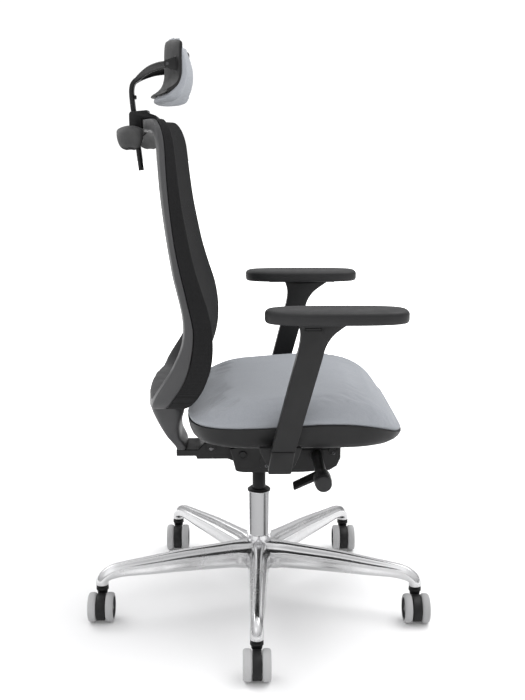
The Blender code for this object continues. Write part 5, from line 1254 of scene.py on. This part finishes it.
# ------------------------------------------------------------------ floor, light and camera
def make_floor():
    """A pale floor that turns to plain white away from the chair."""
    bm = bmesh.new()
    bmesh.ops.create_circle(bm, cap_ends=True, segments=96, radius=60.0)
    paint = Paint("floor", (0.90, 0.90, 0.90), 0.65)
    paint.set("Specular IOR Level", 0.10)
    paint.set("Emission Color", (1.0, 1.0, 1.0, 1.0))
    away = paint.add("ShaderNodeVectorMath", operation="LENGTH")
    paint.links.new(paint.place, away.inputs[0])
    paint.links.new(paint.ramp(away.outputs["Value"], 0.05, 1.0, 0.55, 1.9),
                    paint.shader.inputs["Emission Strength"])
    floor = piece("floor", bm, paint.material, smooth=0.0)


# the studio's greys from the horizon up, and its dark strips: (heading, share of light kept)
SKY = ((0.0, 0.42), (0.10, 0.50), (0.38, 0.80), (0.80, 1.15))
STRIPS = ((94.0, 0.35), (-54.0, 0.20), (-128.0, 0.35))
STRIP_EDGE = (0.955, 0.985)
# name, place, size, power and aim of each soft box
LAMPS = (("key", (0.4, -1.2, 3.4), 2.4, 62.0, (0.0, 0.0, 0.3)),
         ("rear", (1.6, 2.2, 2.6), 2.0, 26.0, (0.0, 0.0, 0.6)),
         ("near", (-2.8, 0.8, 2.6), 2.0, 7.0, (0.0, 0.0, 0.5)))
CAMERA_PLACE = (-2.056, 0.032, 0.963)
CAMERA_YAW = 1.10
CAMERA_PITCH = 11.49
LENS = 51.8914
SENSOR = 36.0


def make_light():
    """Soft boxes over a bright studio; dark strips in it give the metal its edges."""
    bpy.context.scene.view_settings.view_transform = "Standard"
    world = bpy.data.worlds.new("studio")
    bpy.context.scene.world = world
    world.use_nodes = True
    nodes, links = world.node_tree.nodes, world.node_tree.links
    background = nodes["Background"]
    place = nodes.new("ShaderNodeTexCoord")
    split = nodes.new("ShaderNodeSeparateXYZ")
    links.new(place.outputs["Generated"], split.inputs["Vector"])
    ramp = nodes.new("ShaderNodeValToRGB")
    links.new(split.outputs["Z"], ramp.inputs["Fac"])
    for spot, grey in SKY:
        element = ramp.color_ramp.elements[0] if spot == 0.0 else \
            ramp.color_ramp.elements.new(spot)
        element.position = spot
        element.color = (grey, grey, grey * 1.01, 1.0)
    ramp.color_ramp.elements.remove(ramp.color_ramp.elements[-1])
    shade = ramp.outputs["Color"]
    for degrees, keep in STRIPS:
        turn = math.radians(180.0 - degrees)
        dot = add_node(nodes, "ShaderNodeVectorMath",
                       {1: (math.cos(turn), math.sin(turn), 0.0)}, operation="DOT_PRODUCT")
        links.new(place.outputs["Generated"], dot.inputs[0])
        fade = add_node(nodes, "ShaderNodeMapRange",
                        {"From Min": STRIP_EDGE[0], "From Max": STRIP_EDGE[1],
                         "To Min": 1.0, "To Max": keep})
        links.new(dot.outputs["Value"], fade.inputs["Value"])
        scaled = add_node(nodes, "ShaderNodeVectorMath", operation="SCALE")
        links.new(shade, scaled.inputs[0])
        links.new(fade.outputs["Result"], scaled.inputs["Scale"])
        shade = scaled.outputs["Vector"]
    rays = nodes.new("ShaderNodeLightPath")
    mix = add_node(nodes, "ShaderNodeMix", data_type="RGBA")
    links.new(rays.outputs["Is Camera Ray"], mix.inputs["Factor"])
    links.new(shade, mix.inputs[6])
    mix.inputs[7].default_value = (1.1, 1.1, 1.1, 1.0)
    links.new(mix.outputs[2], background.inputs["Color"])
    background.inputs["Strength"].default_value = 1.0
    for name, place, size, power, aim in LAMPS:
        lamp = bpy.data.lights.new(name, "AREA")
        lamp.size = size
        lamp.energy = power
        holder = bpy.data.objects.new(name, lamp)
        holder.location = Vector(place) + COLUMN
        holder.rotation_euler = (Vector(aim) - Vector(place)).to_track_quat("-Z", "Y").to_euler()
        bpy.context.scene.collection.objects.link(holder)


def make_camera():
    camera = bpy.data.cameras.new("camera")
    camera.sensor_width = SENSOR
    camera.lens = LENS
    holder = bpy.data.objects.new("camera", camera)
    holder.location = COLUMN + Vector(CAMERA_PLACE)
    yaw, pitch = math.radians(CAMERA_YAW), math.radians(CAMERA_PITCH)
    aim = Vector((math.cos(yaw) * math.cos(pitch), -math.sin(yaw) * math.cos(pitch),
                  -math.sin(pitch)))
    holder.rotation_euler = aim.to_track_quat("-Z", "Y").to_euler()
    bpy.context.scene.collection.objects.link(holder)
    bpy.context.scene.camera = holder


make_floor()
make_light()
make_camera()

bpy.context.view_layer.update()
